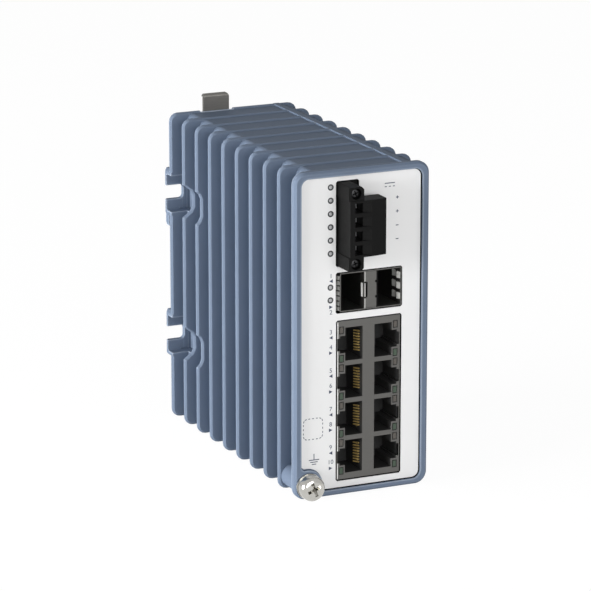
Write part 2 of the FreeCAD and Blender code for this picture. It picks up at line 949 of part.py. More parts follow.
def cage_middle_strip():
    """The bright strip that closes the channel between the two slots."""
    x0 = cage_slots()[0][1] + cage_sheet + 0.05
    x1 = cage_slots()[1][0] - cage_sheet - 0.05
    strip = block(
        x0, x1, cage_front, cage_front + 0.6,
        cage_low + cage_sheet + 0.05, cage_low + cage_height - cage_sheet - 0.05,
    )
    half = tongue_height / 2 + 0.3
    nick = 0.35
    notches = [block(x0 - 1, x0 + strip_notch, cage_front - 1, cage_front + 2, cage_z - half, cage_z + half)]
    for z in (cage_z - half, cage_z + half):
        notches.append(block(x1 - 0.5, x1 + 1, cage_front - 1, cage_front + 2, z - nick, z + nick))
    return strip.cut(notches)


def cage_gasket():
    """A collar round the cage's mouth with a row of spring fingers on each side."""
    y0 = web_back + 0.3
    y1 = y0 + 1.6
    inner = block(cage_x, cage_right, y0 - 1, y1 + 1, cage_low, cage_low + cage_height)
    ring = block(
        cage_x - gasket_sheet, cage_right + gasket_sheet, y0, y1,
        cage_low - gasket_sheet, cage_low + cage_height + gasket_sheet,
    )
    ring = ring.cut(inner)
    pieces = [ring]
    finger = 1.35
    count = 7
    pitch = (cage_height - 1.0) / count
    left = cage_x - gasket_sheet
    middle = (cage_front + y0) / 2 + 0.3
    for i in range(count):
        z = cage_low + 0.5 + i * pitch
        line = [
            (left + 0.1, y0 + 0.1),
            (left + 0.1, y0 + 0.6),
            (left, y0 + 0.6),
            (left - gasket_reach + 0.3, middle),
            (left, cage_front),
            (left, cage_front + 0.5),
            (left - gasket_reach + 0.7, middle),
            (left, y0 + 0.1),
        ]
        pieces.append(prism(line, "z", z, finger))
    return fuse(pieces)


def cage_connectors():
    """The two card-edge sockets at the back of the cages."""
    sockets = []
    for x0, x1 in cage_slots():
        middle = (x0 + x1) / 2
        y1 = cage_front + cage_depth - cage_sheet
        body = block(x0 + 1.2, x1 - 1.2, y1 - 9.0, y1, cage_z - 5.6, cage_z + 5.6)
        slot = block(middle - 0.6, middle + 0.6, y1 - 10, y1 - 2.5, cage_z - 4.6, cage_z + 4.6)
        sockets.append(body.cut(slot))
    return sockets


# Power terminal

header_front = 0.8
header_right = board_x + header_width
pole_zs = [
    terminal_z + ((terminal_poles - 1) / 2 - i) * terminal_pitch for i in range(terminal_poles)
]
ear = (terminal_poles + 1) * terminal_pitch / 2
screw_zs = (terminal_z + ear, terminal_z - ear)
pole_x = board_x + header_width / 2
flange_screw_x = pole_x - flange_screw_shift
nose_x0 = board_x + header_wall + 0.2
nose_x1 = header_right - header_wall - 0.2
nose_half = plug_body_height / 2 - 0.2
nose_end = plug_nose_depth


def terminal_header():
    """The shroud on the board: a pocket for the plug and a threaded ear at each end."""
    body = block(
        board_x, header_right, header_front, header_front + header_depth,
        terminal_z - header_height / 2, terminal_z + header_height / 2,
    )
    pocket = block(
        board_x + header_wall, header_right - header_wall, header_front - 1, nose_end + 0.3,
        terminal_z - nose_half - 0.2, terminal_z + nose_half + 0.2,
    )
    holes = [
        small_hole_y(flange_screw_x, z, header_front - 1, header_front + header_depth - 2,
                     flange_screw + 2 * screw_clearance)
        for z in screw_zs
    ]
    pins = [
        block(pole_x - 0.5, pole_x + 0.5, nose_end, header_front + header_depth + 1, z - 0.5, z + 0.5)
        for z in pole_zs
    ]
    return body.cut([pocket] + holes + pins)


def header_pins():
    return [
        block(pole_x - 0.5, pole_x + 0.5, 1.5, header_front + header_depth, z - 0.5, z + 0.5)
        for z in pole_zs
    ]


def terminal_plug():
    """The pluggable block: overhanging body, nose in the header, flanges with screw holes."""
    back = plug_y + plug_depth
    low = terminal_z - plug_body_height / 2
    shelf = plug_left + 8.9
    outline = [
        (plug_left, plug_y),
        (shelf, plug_y),
        (plug_right, plug_y + 0.8),
        (plug_right, back),
        (plug_left, back),
    ]
    body = prism(outline, "z", low, plug_body_height)
    body = body.makeFillet(0.4, edges_along(body, along_z, lambda p: p.y > back - 0.1))
    nose = block(nose_x0, nose_x1, back - 1, nose_end, terminal_z - nose_half, terminal_z + nose_half)
    flange = block(
        plug_left, plug_left + plug_flange_width, plug_y + plug_flange_step, header_front,
        terminal_z - plug_flange_height / 2, terminal_z + plug_flange_height / 2,
    )
    right = plug_left + plug_flange_width
    corners = edges_along(flange, along_y, lambda p: abs(p.x - right) < 1e-6)
    flange = flange.makeChamfer(1.0, corners)
    web = block(
        plug_left, nose_x1, back - 1, header_front - 0.1,
        terminal_z - nose_half, terminal_z + nose_half,
    )
    whole = fuse([body, nose, flange, web])
    tools = []
    entry_x = plug_left + entry_margin
    for z in pole_zs:
        tools.append(
            block(entry_x, entry_x + entry_width, plug_y - 1, plug_y + entry_depth,
                  z - entry_height / 2, z + entry_height / 2)
        )
        x0 = entry_x + entry_width
        ramp = [
            (x0 - 0.1, plug_y - 1),
            (x0 + pocket_width, plug_y - 1),
            (x0 + pocket_width, plug_y + 0.15),
            (x0 - 0.1, plug_y + pocket_depth),
        ]
        tools.append(prism(ramp, "z", z - entry_height / 2, entry_height))
        tools.append(
            block(pole_x - 1.3, pole_x + 1.3, plug_y + entry_depth - 1, nose_end + 1, z - 1.3, z + 1.3)
        )
    for z in screw_zs:
        tools.append(small_hole_y(flange_screw_x, z, plug_y - 1, header_front + 1, flange_screw + 0.3))
        seat = plug_y + flange_screw_sunk
        tools.append(small_hole_y(flange_screw_x, z, plug_y - 1, seat, flange_screw_well))
    return whole.cut(tools)


def plug_contacts():
    """A square sleeve round each header pin, where the wire is clamped."""
    sleeves = []
    for z in pole_zs:
        y0 = plug_y + entry_depth
        tube = block(pole_x - 1.25, pole_x + 1.25, y0, nose_end - 0.3, z - 1.25, z + 1.25)
        bore = block(pole_x - 0.55, pole_x + 0.55, y0 - 1, nose_end + 1, z - 0.55, z + 0.55)
        sleeves.append(tube.cut(bore))
    return sleeves


def plug_flange_screws():
    seat = plug_y + flange_screw_sunk
    length = header_front + 6.0 - seat
    screw = small_screw(flange_screw, length, flange_screw_head, 1.6)
    return [
        aim(screw, FreeCAD.Vector(flange_screw_x, seat, z), FreeCAD.Vector(0, -1, 0))
        for z in screw_zs
    ]


# Parts on the boards

chip_sheet = 1.5
pad_sheet = 1.0
pad_inset = 0.5
power_middle = (power_low + power_high) / 2
switch_chip_at = (board_rear - 32.0, power_middle - 8.0, 20.0)
processor_at = (board_rear - 16.0, power_middle + 28.0, 14.0)
parts_front = power_front + 8.0


def square_chip(spot, x0, x1, shrink=0.0):
    y, z, size = spot
    half = size / 2 - shrink
    return block(x0, x1, y - half, y + half, z - half, z + half)


def switch_chip():
    return square_chip(switch_chip_at, board_left - chip_sheet, board_left)


def processor_chip():
    return square_chip(processor_at, board_left - chip_sheet, board_left)


def thermal_pads():
    """Soft pads that carry the chips' heat into the bosses of the finned wall."""
    face = board_left - chip_sheet
    return [
        square_chip(spot, face - pad_sheet, face, pad_inset)
        for spot in (switch_chip_at, processor_at)
    ]


def memory_chips():
    length = 12.0
    width = 8.0
    return [
        block(board_x, board_x + 1.1, power_front + 6.0, power_front + 6.0 + length, z, z + width)
        for z in (power_middle + 24.0, power_middle + 35.0)
    ]


def board_link():
    """The tall connector that joins the two boards."""
    front = power_front + 1.5
    low = power_middle - 20.0
    length = 32.0
    body = block(board_x, power_board_x, front, front + 5.0, low, low + length)
    waist = block(board_x + 7.0, power_board_x - 3.0, front - 1, front + 0.8, low - 1, low + length + 1)
    return body.cut(waist)


def power_transformer():
    """A wound transformer: its core fused to the bobbin between the core's halves."""
    side = 20.0
    height = 14.0
    limb = 3.0
    reel = 13.0
    low = power_middle - 34.0
    x1 = power_board_x
    middle_y = parts_front + side / 2
    core = block(x1 - height - 1.0, x1 - 1.0, parts_front, parts_front + side, low, low + side)
    gap = (side - 3 * limb - 1.0) / 2
    gaps = [
        block(x1 - height - 2.0, x1, y, y + gap, low + limb, low + side - limb)
        for y in (parts_front + limb + 0.5, middle_y + limb / 2)
    ]
    winding = rod_x(middle_y, low + side / 2, x1 - height + 0.5, x1 - 2.5, reel)
    base = block(
        x1 - 2.5, x1, parts_front + 1.0, parts_front + side - 1.0, low + 1.0, low + side - 1.0
    )
    return fuse([core.cut(gaps), winding, base])


def power_inductors():
    chokes = []
    side = 12.0
    front = parts_front + 2.0
    for low in (power_middle - 10.0, power_middle + 4.0):
        body = block(power_board_x - 7.0, power_board_x, front, front + side, low, low + side)
        chokes.append(body.makeChamfer(1.5, edges_along(body, along_x)))
    return chokes


def power_capacitors():
    height = 15.0
    return [
        rod_x(parts_front + 6.0, z, power_board_x - height, power_board_x, 10.0)
        for z in (power_middle + 24.0, power_middle + 37.0)
    ]


def power_transistors():
    length = 10.0
    width = 6.5
    front = parts_front + 22.0
    return [
        block(power_board_x - 2.3, power_board_x, front, front + length, z, z + width)
        for z in (power_middle - 40.0, power_middle - 30.0, power_middle + 24.0)
    ]


# Ground screw and its washers

def ground_flat_washer():
    y0 = flange_front - washer_sheet
    ring = rod_y(ground_x, ground_z, y0, flange_front, washer_outer)
    return ring.cut(rod_y(ground_x, ground_z, y0 - 1, flange_front + 1, ground_thread + 0.4))


def ground_lock_washer():
    """A split spring washer, its two ends a little apart."""
    y1 = flange_front - washer_sheet
    y0 = y1 - lock_washer_sheet
    ring = rod_y(ground_x, ground_z, y0, y1, washer_outer - 0.6)
    ring = ring.cut(rod_y(ground_x, ground_z, y0 - 1, y1 + 1, ground_thread + 0.4))
    split = block(ground_x - 0.5, ground_x + 0.5, y0 - 1, y1 + 1, ground_z, ground_z + washer_outer)
    split.rotate(FreeCAD.Vector(ground_x, 0, ground_z), along_y, 35)
    return ring.cut(split)


def ground_screw():
    seat = flange_front - washer_sheet - lock_washer_sheet
    length = fin_first - 0.5 - seat
    screw = pan_screw(ground_thread, length, ground_head, ground_head_height)
    return aim(screw, FreeCAD.Vector(ground_x, seat, ground_z), FreeCAD.Vector(0, -1, 0))


# Latch

def rail_latch():
    """One folded strip: thumb tab with a rolled lip, slots, spring window and a hooked jaw."""
    half = latch_width / 2
    sheet = latch_sheet
    roll = lip_roll
    mid = latch_rear - sheet / 2
    outline = [
        FreeCAD.Vector(latch_x, mid, latch_top - sheet / 2 - roll),
        FreeCAD.Vector(latch_x, mid, jaw_low + sheet / 2 + jaw_bend),
    ]
    jaw_out = jaw_inner + sheet / 2
    corner = math.sqrt(0.5)
    top_bend = Part.Arc(
        outline[0],
        FreeCAD.Vector(latch_x, mid + roll * (1 - corner), outline[0].z + roll * corner),
        FreeCAD.Vector(latch_x, mid + roll, outline[0].z + roll),
    ).toShape()
    lip = Part.LineSegment(
        FreeCAD.Vector(latch_x, mid + roll, outline[0].z + roll),
        FreeCAD.Vector(latch_x, mid + lip_reach, outline[0].z + roll - 0.25),
    ).toShape()
    span = (jaw_out - mid) / 2
    turn = Part.Arc(
        outline[1],
        FreeCAD.Vector(latch_x, mid + span, outline[1].z - span),
        FreeCAD.Vector(latch_x, jaw_out, outline[1].z),
    ).toShape()
    tip = Part.LineSegment(
        FreeCAD.Vector(latch_x, jaw_out, outline[1].z),
        FreeCAD.Vector(latch_x, jaw_out, jaw_tip - 0.6),
    ).toShape()
    flare = Part.LineSegment(
        FreeCAD.Vector(latch_x, jaw_out, jaw_tip - 0.6),
        FreeCAD.Vector(latch_x, jaw_out + 0.5, jaw_tip),
    ).toShape()
    strip = Part.LineSegment(outline[0], outline[1]).toShape()
    path = Part.Wire(Part.__sortEdges__([lip, top_bend, strip, turn, tip, flare]))
    ribbon = path.makeOffset2D(sheet / 2, join=2, openResult=True)
    back = path.makeOffset2D(-sheet / 2, join=2, openResult=True)
    ends_a = [ribbon.OrderedVertexes[0].Point, ribbon.OrderedVertexes[-1].Point]
    ends_b = [back.OrderedVertexes[0].Point, back.OrderedVertexes[-1].Point]
    if ends_a[0].distanceToPoint(ends_b[0]) > ends_a[0].distanceToPoint(ends_b[1]):
        ends_b.reverse()
    closed = [
        Part.LineSegment(ends_a[0], ends_b[0]).toShape(),
        Part.LineSegment(ends_a[1], ends_b[1]).toShape(),
    ]
    loop = Part.Wire(Part.__sortEdges__(ribbon.Edges + back.Edges + closed))
    plate = Part.Face(loop).extrude(FreeCAD.Vector(half * 2, 0, 0))
    plate.translate(FreeCAD.Vector(-half, 0, 0))
    tools = []
    slot = guide_slot_width
    for z in guide_screw_zs:
        low = z - slot / 2
        high = z + slot / 2 + latch_travel
        hole = block(latch_x - slot / 2, latch_x + slot / 2, mid - 2, mid + 2, low, high)
        tools.append(hole.makeChamfer(slot / 3, edges_along(hole, along_y)))
    window = block(
        latch_x - window_width / 2, latch_x + window_width / 2, mid - 2, mid + 2,
        spring_low - post_height - 0.4, spring_top,
    )
    tools.append(window)
    for sign in (-1, 1):
        edge_x = latch_x + sign * half
        rounding = block(
            edge_x - latch_corner, edge_x + latch_corner, mid - 2, mid + 6,
            latch_top - latch_corner, latch_top + 2,
        )
        core = rod_y(edge_x - sign * latch_corner, latch_top - latch_corner, mid - 3, mid + 7,
                     2 * latch_corner)
        inner = block(
            *sorted((edge_x - sign * latch_corner, edge_x - 2 * sign * latch_corner)), mid - 3,
            mid + 7, latch_top - latch_corner - 1, latch_top + 3,
        )
        tools.append(rounding.cut([core, inner]))
    return plate.cut(tools)


def latch_spring():
    """A coil spring standing on the post, pushing the plate up."""
    mean = (spring_outer - spring_wire) / 2
    middle = latch_rear - latch_sheet / 2
    low = spring_low + spring_wire / 2
    rise = spring_length - spring_wire
    per_turn = 8
    steps = spring_turns * per_turn
    path = []
    for i in range(steps + 1):
        turn = 2 * math.pi * i / per_turn
        path.append(
            FreeCAD.Vector(
                latch_x + mean * math.cos(turn), middle + mean * math.sin(turn), low + rise * i / steps
            )
        )
    half = spring_wire / 2
    square = ((1, 1), (-1, 1), (-1, -1), (1, -1), (1, 1))
    section = Part.makePolygon([path[0] + FreeCAD.Vector(a * half, 0, b * half) for a, b in square])
    return Part.makePolygon(path).makePipeShell([section], True, False, 1)


def latch_guide_screws():
    """Shouldered screws through the plate's slots, with heads that keep it in its channel."""
    screw = small_screw(board_screw - 2 * screw_clearance, rear_wall - 1.3, guide_head, 1.6)
    shoulder = latch_rear + 0.15
    return [
        aim(screw, FreeCAD.Vector(latch_x, shoulder, z), along_y) for z in guide_screw_zs
    ]


save("main_housing", main_housing())
save("side_cover", side_cover())
save("cover_screws", cover_screws())
save("front_label", front_label())
save("status_light_pipes", status_light_pipes())
save("status_leds", status_leds())
save("main_board", main_board())
save("power_board", power_board())
save("board_screws", board_screws())
save("port_shield", port_shield())
save("port_insulator", port_insulator())
save("port_contacts", port_contacts())
save("port_lights_upper", port_lights(True))
save("port_lights_lower", port_lights(False))
save("cage_shell", cage_shell())
save("cage_springs", cage_springs())
save("cage_middle_strip", cage_middle_strip())
save("cage_gasket", cage_gasket())
save("cage_connectors", cage_connectors())
save("terminal_header", terminal_header())
save("header_pins", header_pins())
save("terminal_plug", terminal_plug())
save("plug_contacts", plug_contacts())
save("plug_flange_screws", plug_flange_screws())
save("switch_chip", switch_chip())
save("processor_chip", processor_chip())
save("thermal_pads", thermal_pads())
save("memory_chips", memory_chips())
save("board_link", board_link())
save("power_transformer", power_transformer())
save("power_inductors", power_inductors())
save("power_capacitors", power_capacitors())
save("power_transistors", power_transistors())
save("ground_screw", ground_screw())
save("ground_lock_washer", ground_lock_washer())
save("ground_flat_washer", ground_flat_washer())
save("rail_latch", rail_latch())
save("latch_spring", latch_spring())
save("latch_guide_screws", latch_guide_screws())
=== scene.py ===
import bmesh
import bpy
import json
import math
from mathutils import Matrix, Vector


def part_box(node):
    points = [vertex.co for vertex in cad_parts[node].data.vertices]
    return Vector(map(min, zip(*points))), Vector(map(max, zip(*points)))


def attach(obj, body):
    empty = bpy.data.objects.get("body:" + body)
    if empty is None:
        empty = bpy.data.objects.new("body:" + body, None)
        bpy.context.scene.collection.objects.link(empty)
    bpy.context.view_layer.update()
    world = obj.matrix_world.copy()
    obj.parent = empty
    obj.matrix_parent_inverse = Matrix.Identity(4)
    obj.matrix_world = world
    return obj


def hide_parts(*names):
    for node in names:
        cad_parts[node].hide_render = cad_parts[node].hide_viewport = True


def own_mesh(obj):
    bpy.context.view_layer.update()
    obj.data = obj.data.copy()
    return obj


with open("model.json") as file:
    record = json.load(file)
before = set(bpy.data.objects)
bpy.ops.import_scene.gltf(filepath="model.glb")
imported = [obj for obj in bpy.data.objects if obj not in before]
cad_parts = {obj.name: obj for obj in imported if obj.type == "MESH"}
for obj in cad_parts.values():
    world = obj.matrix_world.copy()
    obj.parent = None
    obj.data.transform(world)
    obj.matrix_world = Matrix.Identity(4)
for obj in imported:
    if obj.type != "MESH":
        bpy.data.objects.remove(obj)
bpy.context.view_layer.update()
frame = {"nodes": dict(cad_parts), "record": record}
nodes = frame["nodes"]
mm = 0.001
print("frame loaded:", len(nodes), "nodes")

# The tables below are in millimetres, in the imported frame: X right, -Y out of the label, Z up.
labelLow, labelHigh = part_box("front_label")
labelFront = labelLow.y / mm          # the label's printed face


# Shader maths

def feed(tree, place, value):
    # links a wire to the socket, or else sets the plain value
    if isinstance(value, Wire):
        tree.links.new(value.socket, place)
    else:
        place.default_value = value


class Wire:
    # a socket that can be added, multiplied and so on, which adds Math nodes
    def __init__(self, tree, socket):
        self.tree = tree
        self.socket = socket

    def maths(self, operation, other=None, swap=False):
        node = self.tree.nodes.new("ShaderNodeMath")
        node.operation = operation
        pair = [self] if other is None else [self, other]
        if swap:
            pair.reverse()
        for place, value in zip(node.inputs, pair):
            feed(self.tree, place, value)
        return Wire(self.tree, node.outputs[0])

    def __radd__(self, other):
        return self.maths("ADD", other, True)

    def __sub__(self, other):
        return self.maths("SUBTRACT", other)

    def __rsub__(self, other):
        return self.maths("SUBTRACT", other, True)

    def __mul__(self, other):
        return self.maths("MULTIPLY", other)

    def __rmul__(self, other):
        return self.maths("MULTIPLY", other, True)

    def clipped(self):
        return self.maths("MAXIMUM", 0.0).maths("MINIMUM", 1.0)


class Finish:
    # a material with its own Principled shader
    def __init__(self, name, **constants):
        self.material = bpy.data.materials.new(name)
        self.material.use_nodes = True
        self.tree = self.material.node_tree
        self.tree.nodes.clear()
        self.out = self.tree.nodes.new("ShaderNodeOutputMaterial")
        self.shader = self.tree.nodes.new("ShaderNodeBsdfPrincipled")
        self.tree.links.new(self.shader.outputs[0], self.out.inputs[0])
        self.set(**constants)

    def set(self, **values):
        for key, value in values.items():
            feed(self.tree, self.shader.inputs[key.replace("_", " ")], value)

    def node(self, kind, settings=None, output=0, **values):
        made = self.tree.nodes.new(kind)
        for key, value in (settings or {}).items():
            setattr(made, key, value)
        for key, value in values.items():
            feed(self.tree, made.inputs[key.replace("_", " ")], value)
        return Wire(self.tree, made.outputs[output])

    def place(self):
        return self.node("ShaderNodeTexCoord", output=3)

    def noise(self, scale, detail=2.0, stretch=(1, 1, 1), rough=0.5):
        spot = self.node("ShaderNodeMapping", Vector=self.place(), Scale=stretch)
        return self.node(
            "ShaderNodeTexNoise", {"noise_dimensions": "3D"}, Vector=spot, Scale=scale,
            Detail=detail, Roughness=rough,
        )

    def blend(self, factor, first, second):
        # two colours mixed by a value
        made = self.tree.nodes.new("ShaderNodeMix")
        made.data_type = "RGBA"
        for index, value in ((0, factor), (6, first), (7, second)):
            feed(self.tree, made.inputs[index], value)
        return Wire(self.tree, made.outputs[2])

    def bump(self, height, strength, distance):
        normal = self.node(
            "ShaderNodeBump", Height=height, Strength=strength, Distance=distance
        )
        self.set(Normal=normal)


def shade(red, green, blue):
    # a colour given as it looks on screen, 0 to 255
    def linear(value):
        value /= 255
        return value / 12.92 if value < 0.04045 else ((value + 0.055) / 1.055) ** 2.4
    return (linear(red), linear(green), linear(blue), 1.0)


# Finishes

# edge is the colour of the painted highlight on raised edges, and reach, start and steep shape where it
# lies
paint = {
    "colour": (109, 122, 141), "dark": (102, 115, 134), "edge": (190, 200, 214), "gloss": 0.05,
    "clouds": 60.0, "rough": 0.5, "roughMore": 0.08, "patches": 300.0, "peel": 1700.0,
    "depth": 0.12, "relief": 0.0001, "reach": 0.0008, "start": 2.0, "steep": 2.2,
}


def paintFinish(name, edgeHighlight):
    # the second value paints a highlight: the paint turns paler on raised edges, and 0 leaves it even
    finish = Finish(name, Specular_IOR_Level=paint["gloss"])
    cloud = finish.blend(
        finish.noise(paint["clouds"], 3.0), shade(*paint["dark"]), shade(*paint["colour"])
    )
    inside = finish.node(
        "ShaderNodeAmbientOcclusion", {"inside": True, "only_local": True, "samples": 8}, 1,
        Distance=paint["reach"],
    )
    # painted highlight: edges that occlusion inside the part finds convex blend towards the edge colour
    rim = (paint["start"] - paint["steep"] * inside).clipped()
    finish.set(Base_Color=finish.blend(rim * edgeHighlight, cloud, shade(*paint["edge"])))
    finish.set(Roughness=paint["rough"] + paint["roughMore"] * finish.noise(paint["patches"]))
    finish.bump(finish.noise(paint["peel"]), paint["depth"], paint["relief"])
    return finish


film = {
    "dark": (226, 226, 226), "light": (232, 232, 232), "gloss": 0.4, "clouds": 25.0,
    "rough": 0.34, "roughMore": 0.06, "patches": 900.0,
    "grain": 2600.0, "depth": 0.04, "relief": 0.00005,
}


def labelFinish():
    finish = Finish("labelFilm", Specular_IOR_Level=film["gloss"])
    cloud = finish.noise(film["clouds"], 1.0)
    finish.set(Base_Color=finish.blend(cloud, shade(*film["dark"]), shade(*film["light"])))
    finish.set(Roughness=film["rough"] + film["roughMore"] * finish.noise(film["patches"]))
    finish.bump(finish.noise(film["grain"]), film["depth"], film["relief"])
    return finish


plain = {"clouds": 140.0, "coatRough": 0.2, "roughSpan": 0.1, "patches": 0.4, "relief": 0.0001}


def plainFinish(name, dark, light, rough, grain=1200.0, depth=0.08, metal=0.0, coat=0.0, gloss=0.5):
    # two near colours in soft clouds over a fine grain
    finish = Finish(
        name, Metallic=metal, Coat_Weight=coat, Coat_Roughness=plain["coatRough"],
        Specular_IOR_Level=gloss,
    )
    clouds = finish.noise(plain["clouds"], 3.0)
    finish.set(Base_Color=finish.blend(clouds, shade(*dark), shade(*light)))
    patches = finish.noise(grain * plain["patches"]) - 0.5
    finish.set(Roughness=rough + plain["roughSpan"] * patches)
    finish.bump(finish.noise(grain), depth, plain["relief"])
    return finish


brushed = {
    "lines": 320.0, "detail": 4.0, "contrast": 0.65, "roughSpan": 0.18, "depth": 0.06, "relief": 0.00008,
}


def brushedFinish(name, dark, light, rough, along=(1, 1, 14)):
    # metal with fine lines, long where the scale along an axis is low
    finish = Finish(name, Metallic=1.0)
    lines = finish.noise(brushed["lines"], brushed["detail"], along, brushed["contrast"])
    finish.set(Base_Color=finish.blend(lines, shade(*dark), shade(*light)))
    finish.set(Roughness=rough + brushed["roughSpan"] * (lines - 0.5))
    finish.bump(lines, brushed["depth"], brushed["relief"])
    return finish


solderMask = {
    "dark": (18, 74, 42), "light": (30, 104, 60), "tracks": 240.0, "contrast": 1.6,
    "coat": 0.5, "coatRough": 0.2, "rough": 0.35, "roughMore": 0.15, "depth": 0.1, "relief": 0.00005,
}


def boardFinish():
    # green mask, a little raised over the tracks
    look = solderMask
    finish = Finish("solderMask", Coat_Weight=look["coat"], Coat_Roughness=look["coatRough"])
    tracks = finish.node(
        "ShaderNodeTexVoronoi", {"distance": "CHEBYCHEV"}, Vector=finish.place(),
        Scale=look["tracks"],
    )
    raised = (tracks * look["contrast"]).clipped()
    finish.set(Base_Color=finish.blend(raised, shade(*look["dark"]), shade(*look["light"])))
    finish.set(Roughness=look["rough"] + look["roughMore"] * tracks)
    finish.bump(tracks, look["depth"], look["relief"])
    return finish


finishes = {
    # the housing's paint carries the painted edge highlight, and the even paint has none
    "housing_paint": paintFinish("blueGreyPaintEdgeHighlit", 0.5),
    "plain_paint": paintFinish("evenPaint", 0.0),
    "label_film": labelFinish(),
    "clear_plastic": plainFinish("milkyLens", (160, 161, 162), (178, 179, 180), 0.25, coat=0.4),
    "led": plainFinish("diodeBody", (205, 205, 190), (228, 228, 214), 0.4),
    "board": boardFinish(),
    "screw_steel": brushedFinish("zincScrew", (150, 152, 156), (186, 188, 190), 0.32),
    "screw_chrome": brushedFinish("brightNickel", (176, 174, 168), (204, 203, 198), 0.16, (1, 1, 1)),
    "stamped_steel": brushedFinish("tinnedSheet", (88, 87, 85), (101, 100, 98), 0.5),
    "black_moulding": plainFinish(
        "blackMoulding", (13, 13, 13), (18, 18, 18), 0.55, 1500.0, 0.12, gloss=0.08
    ),
    "jack_moulding": plainFinish(
        "jackMoulding", (48, 48, 48), (56, 56, 56), 0.55, 1500.0, 0.1, gloss=0.12
    ),
    "contact_gold": plainFinish("goldWire", (206, 172, 102), (222, 194, 130), 0.36, metal=0.7),
    "lamp_amber": plainFinish("amberLamp", (70, 66, 61), (80, 75, 69), 0.35, coat=0.1),
    "lamp_green": plainFinish("greenLamp", (46, 62, 48), (58, 76, 59), 0.35, coat=0.1),
    "chip": plainFinish("chipBody", (26, 27, 29), (38, 39, 41), 0.55),
    "pad": plainFinish("softPad", (120, 122, 128), (146, 148, 154), 0.8),
    "winding": plainFinish("tapedWinding", (150, 116, 38), (184, 146, 56), 0.45),
    "can": plainFinish("sleevedCan", (38, 44, 60), (52, 60, 80), 0.35, coat=0.3),
    "spring_steel": plainFinish("springSteel", (196, 196, 192), (216, 216, 212), 0.3, metal=0.4),
    "latch_steel": brushedFinish("latchSteel", (104, 102, 99), (128, 126, 122), 0.42),
    "print_ink": plainFinish("printInk", (40, 52, 76), (48, 60, 84), 0.5),
    "ring_ink": plainFinish("ringInk", (40, 41, 44), (50, 51, 54), 0.5),
    "dark_screw": brushedFinish("darkScrew", (44, 44, 45), (66, 66, 67), 0.4),
    # pale steel that paints the light on the divider's left cut edge
    "lit_cut_edge": plainFinish("cutEdgePaintedLight", (150, 149, 146), (164, 163, 160), 0.4, metal=0.4),
    # near-white tin that paints the highlight on the cage's tongue
    "tongue_highlight": plainFinish("tinPaintedHighlight", (226, 226, 222), (240, 240, 236), 0.3, metal=0.25),
    "shadow_black": plainFinish("shadowBlack", (8, 8, 8), (12, 12, 12), 0.8, gloss=0.1),
    # near-white steel that paints the highlight on the shield's fold
    "fold_highlight_steel": brushedFinish("steelPaintedHighlight", (214, 214, 211), (232, 232, 229), 0.34),
}
slots = {entry["node"]: entry["material_slot"] for entry in frame["record"]["subparts"]}
for nodeName, nodeObject in nodes.items():
    for place in nodeObject.material_slots:
        place.material = finishes[slots[nodeName]].material
print("finishes made:", len(finishes))


# Mesh helpers

def piece(name, mesh, slotName, body="switch", replaced=(), finishName=None):
    thing = bpy.data.objects.new(name, mesh)
    bpy.context.scene.collection.objects.link(thing)
    thing.data.materials.clear()
    thing.data.materials.append(finishes[finishName or slotName].material)
    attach(thing, body)
    if replaced:
        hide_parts(*replaced)
    return thing


def smoothed(mesh, degrees):
    mesh.shade_smooth()
    mesh.set_sharp_from_angle(angle=math.radians(degrees))


def evenNormals(thing):
    thing.modifiers.new("weighted", "WEIGHTED_NORMAL").keep_sharp = True


def carved(mesh, cutters):
    # a bmesh of the mesh with each cutter's bmesh taken out of it
    holder = bpy.data.objects.new("scratch", mesh)
    bpy.context.scene.collection.objects.link(holder)
    for shape in cutters:
        cutterMesh = bpy.data.meshes.new("cutter")
        shape.to_mesh(cutterMesh)
        shape.free()
        cutter = bpy.data.objects.new("cutter", cutterMesh)
        bpy.context.scene.collection.objects.link(cutter)
        cut = holder.modifiers.new("cut", "BOOLEAN")
        cut.object = cutter
        cut.operation = "DIFFERENCE"
        cut.solver = "EXACT"
    bpy.context.view_layer.update()
    result = bmesh.new()
    result.from_object(holder, bpy.context.evaluated_depsgraph_get())
    for cut in list(holder.modifiers):
        bpy.data.objects.remove(cut.object)
    bpy.data.objects.remove(holder)
    return result


weld = 1e-6      # in metres: points closer than this are one
softening = {"flat": 1.0, "hard": 25.0, "smooth": 50.0}      # angles between faces, in degrees


def softened(node, width, segments, body="switch", cutters=(), finishName=None):
    # a copy of a CAD node with its hard edges rounded a little, as a mould or a die leaves them
    bm = carved(nodes[node].data.copy(), cutters)
    bmesh.ops.remove_doubles(bm, verts=bm.verts, dist=weld)
    bmesh.ops.dissolve_limit(
        bm, angle_limit=math.radians(softening["flat"]), verts=bm.verts, edges=bm.edges,
        use_dissolve_boundaries=False,
    )
    least = math.radians(softening["hard"])
    hard = [
        edge for edge in bm.edges if len(edge.link_faces) == 2 and edge.calc_face_angle(0) > least
    ]
    bmesh.ops.bevel(
        bm, geom=hard, offset=width * mm, offset_type="OFFSET", segments=segments, profile=0.5,
        affect="EDGES", clamp_overlap=True,
    )
    mesh = bpy.data.meshes.new(node + "_soft")
    bm.to_mesh(mesh)
    bm.free()
    smoothed(mesh, softening["smooth"])
    evenNormals(piece(node + "_soft", mesh, slots[node], body, [node], finishName))


turnTo = {
    "Z": Matrix.Identity(4),
    "-Y": Matrix.Rotation(math.radians(90), 4, "X"),
    "Y": Matrix.Rotation(math.radians(-90), 4, "X"),
    "X": Matrix.Rotation(math.radians(90), 4, "Y"),
}


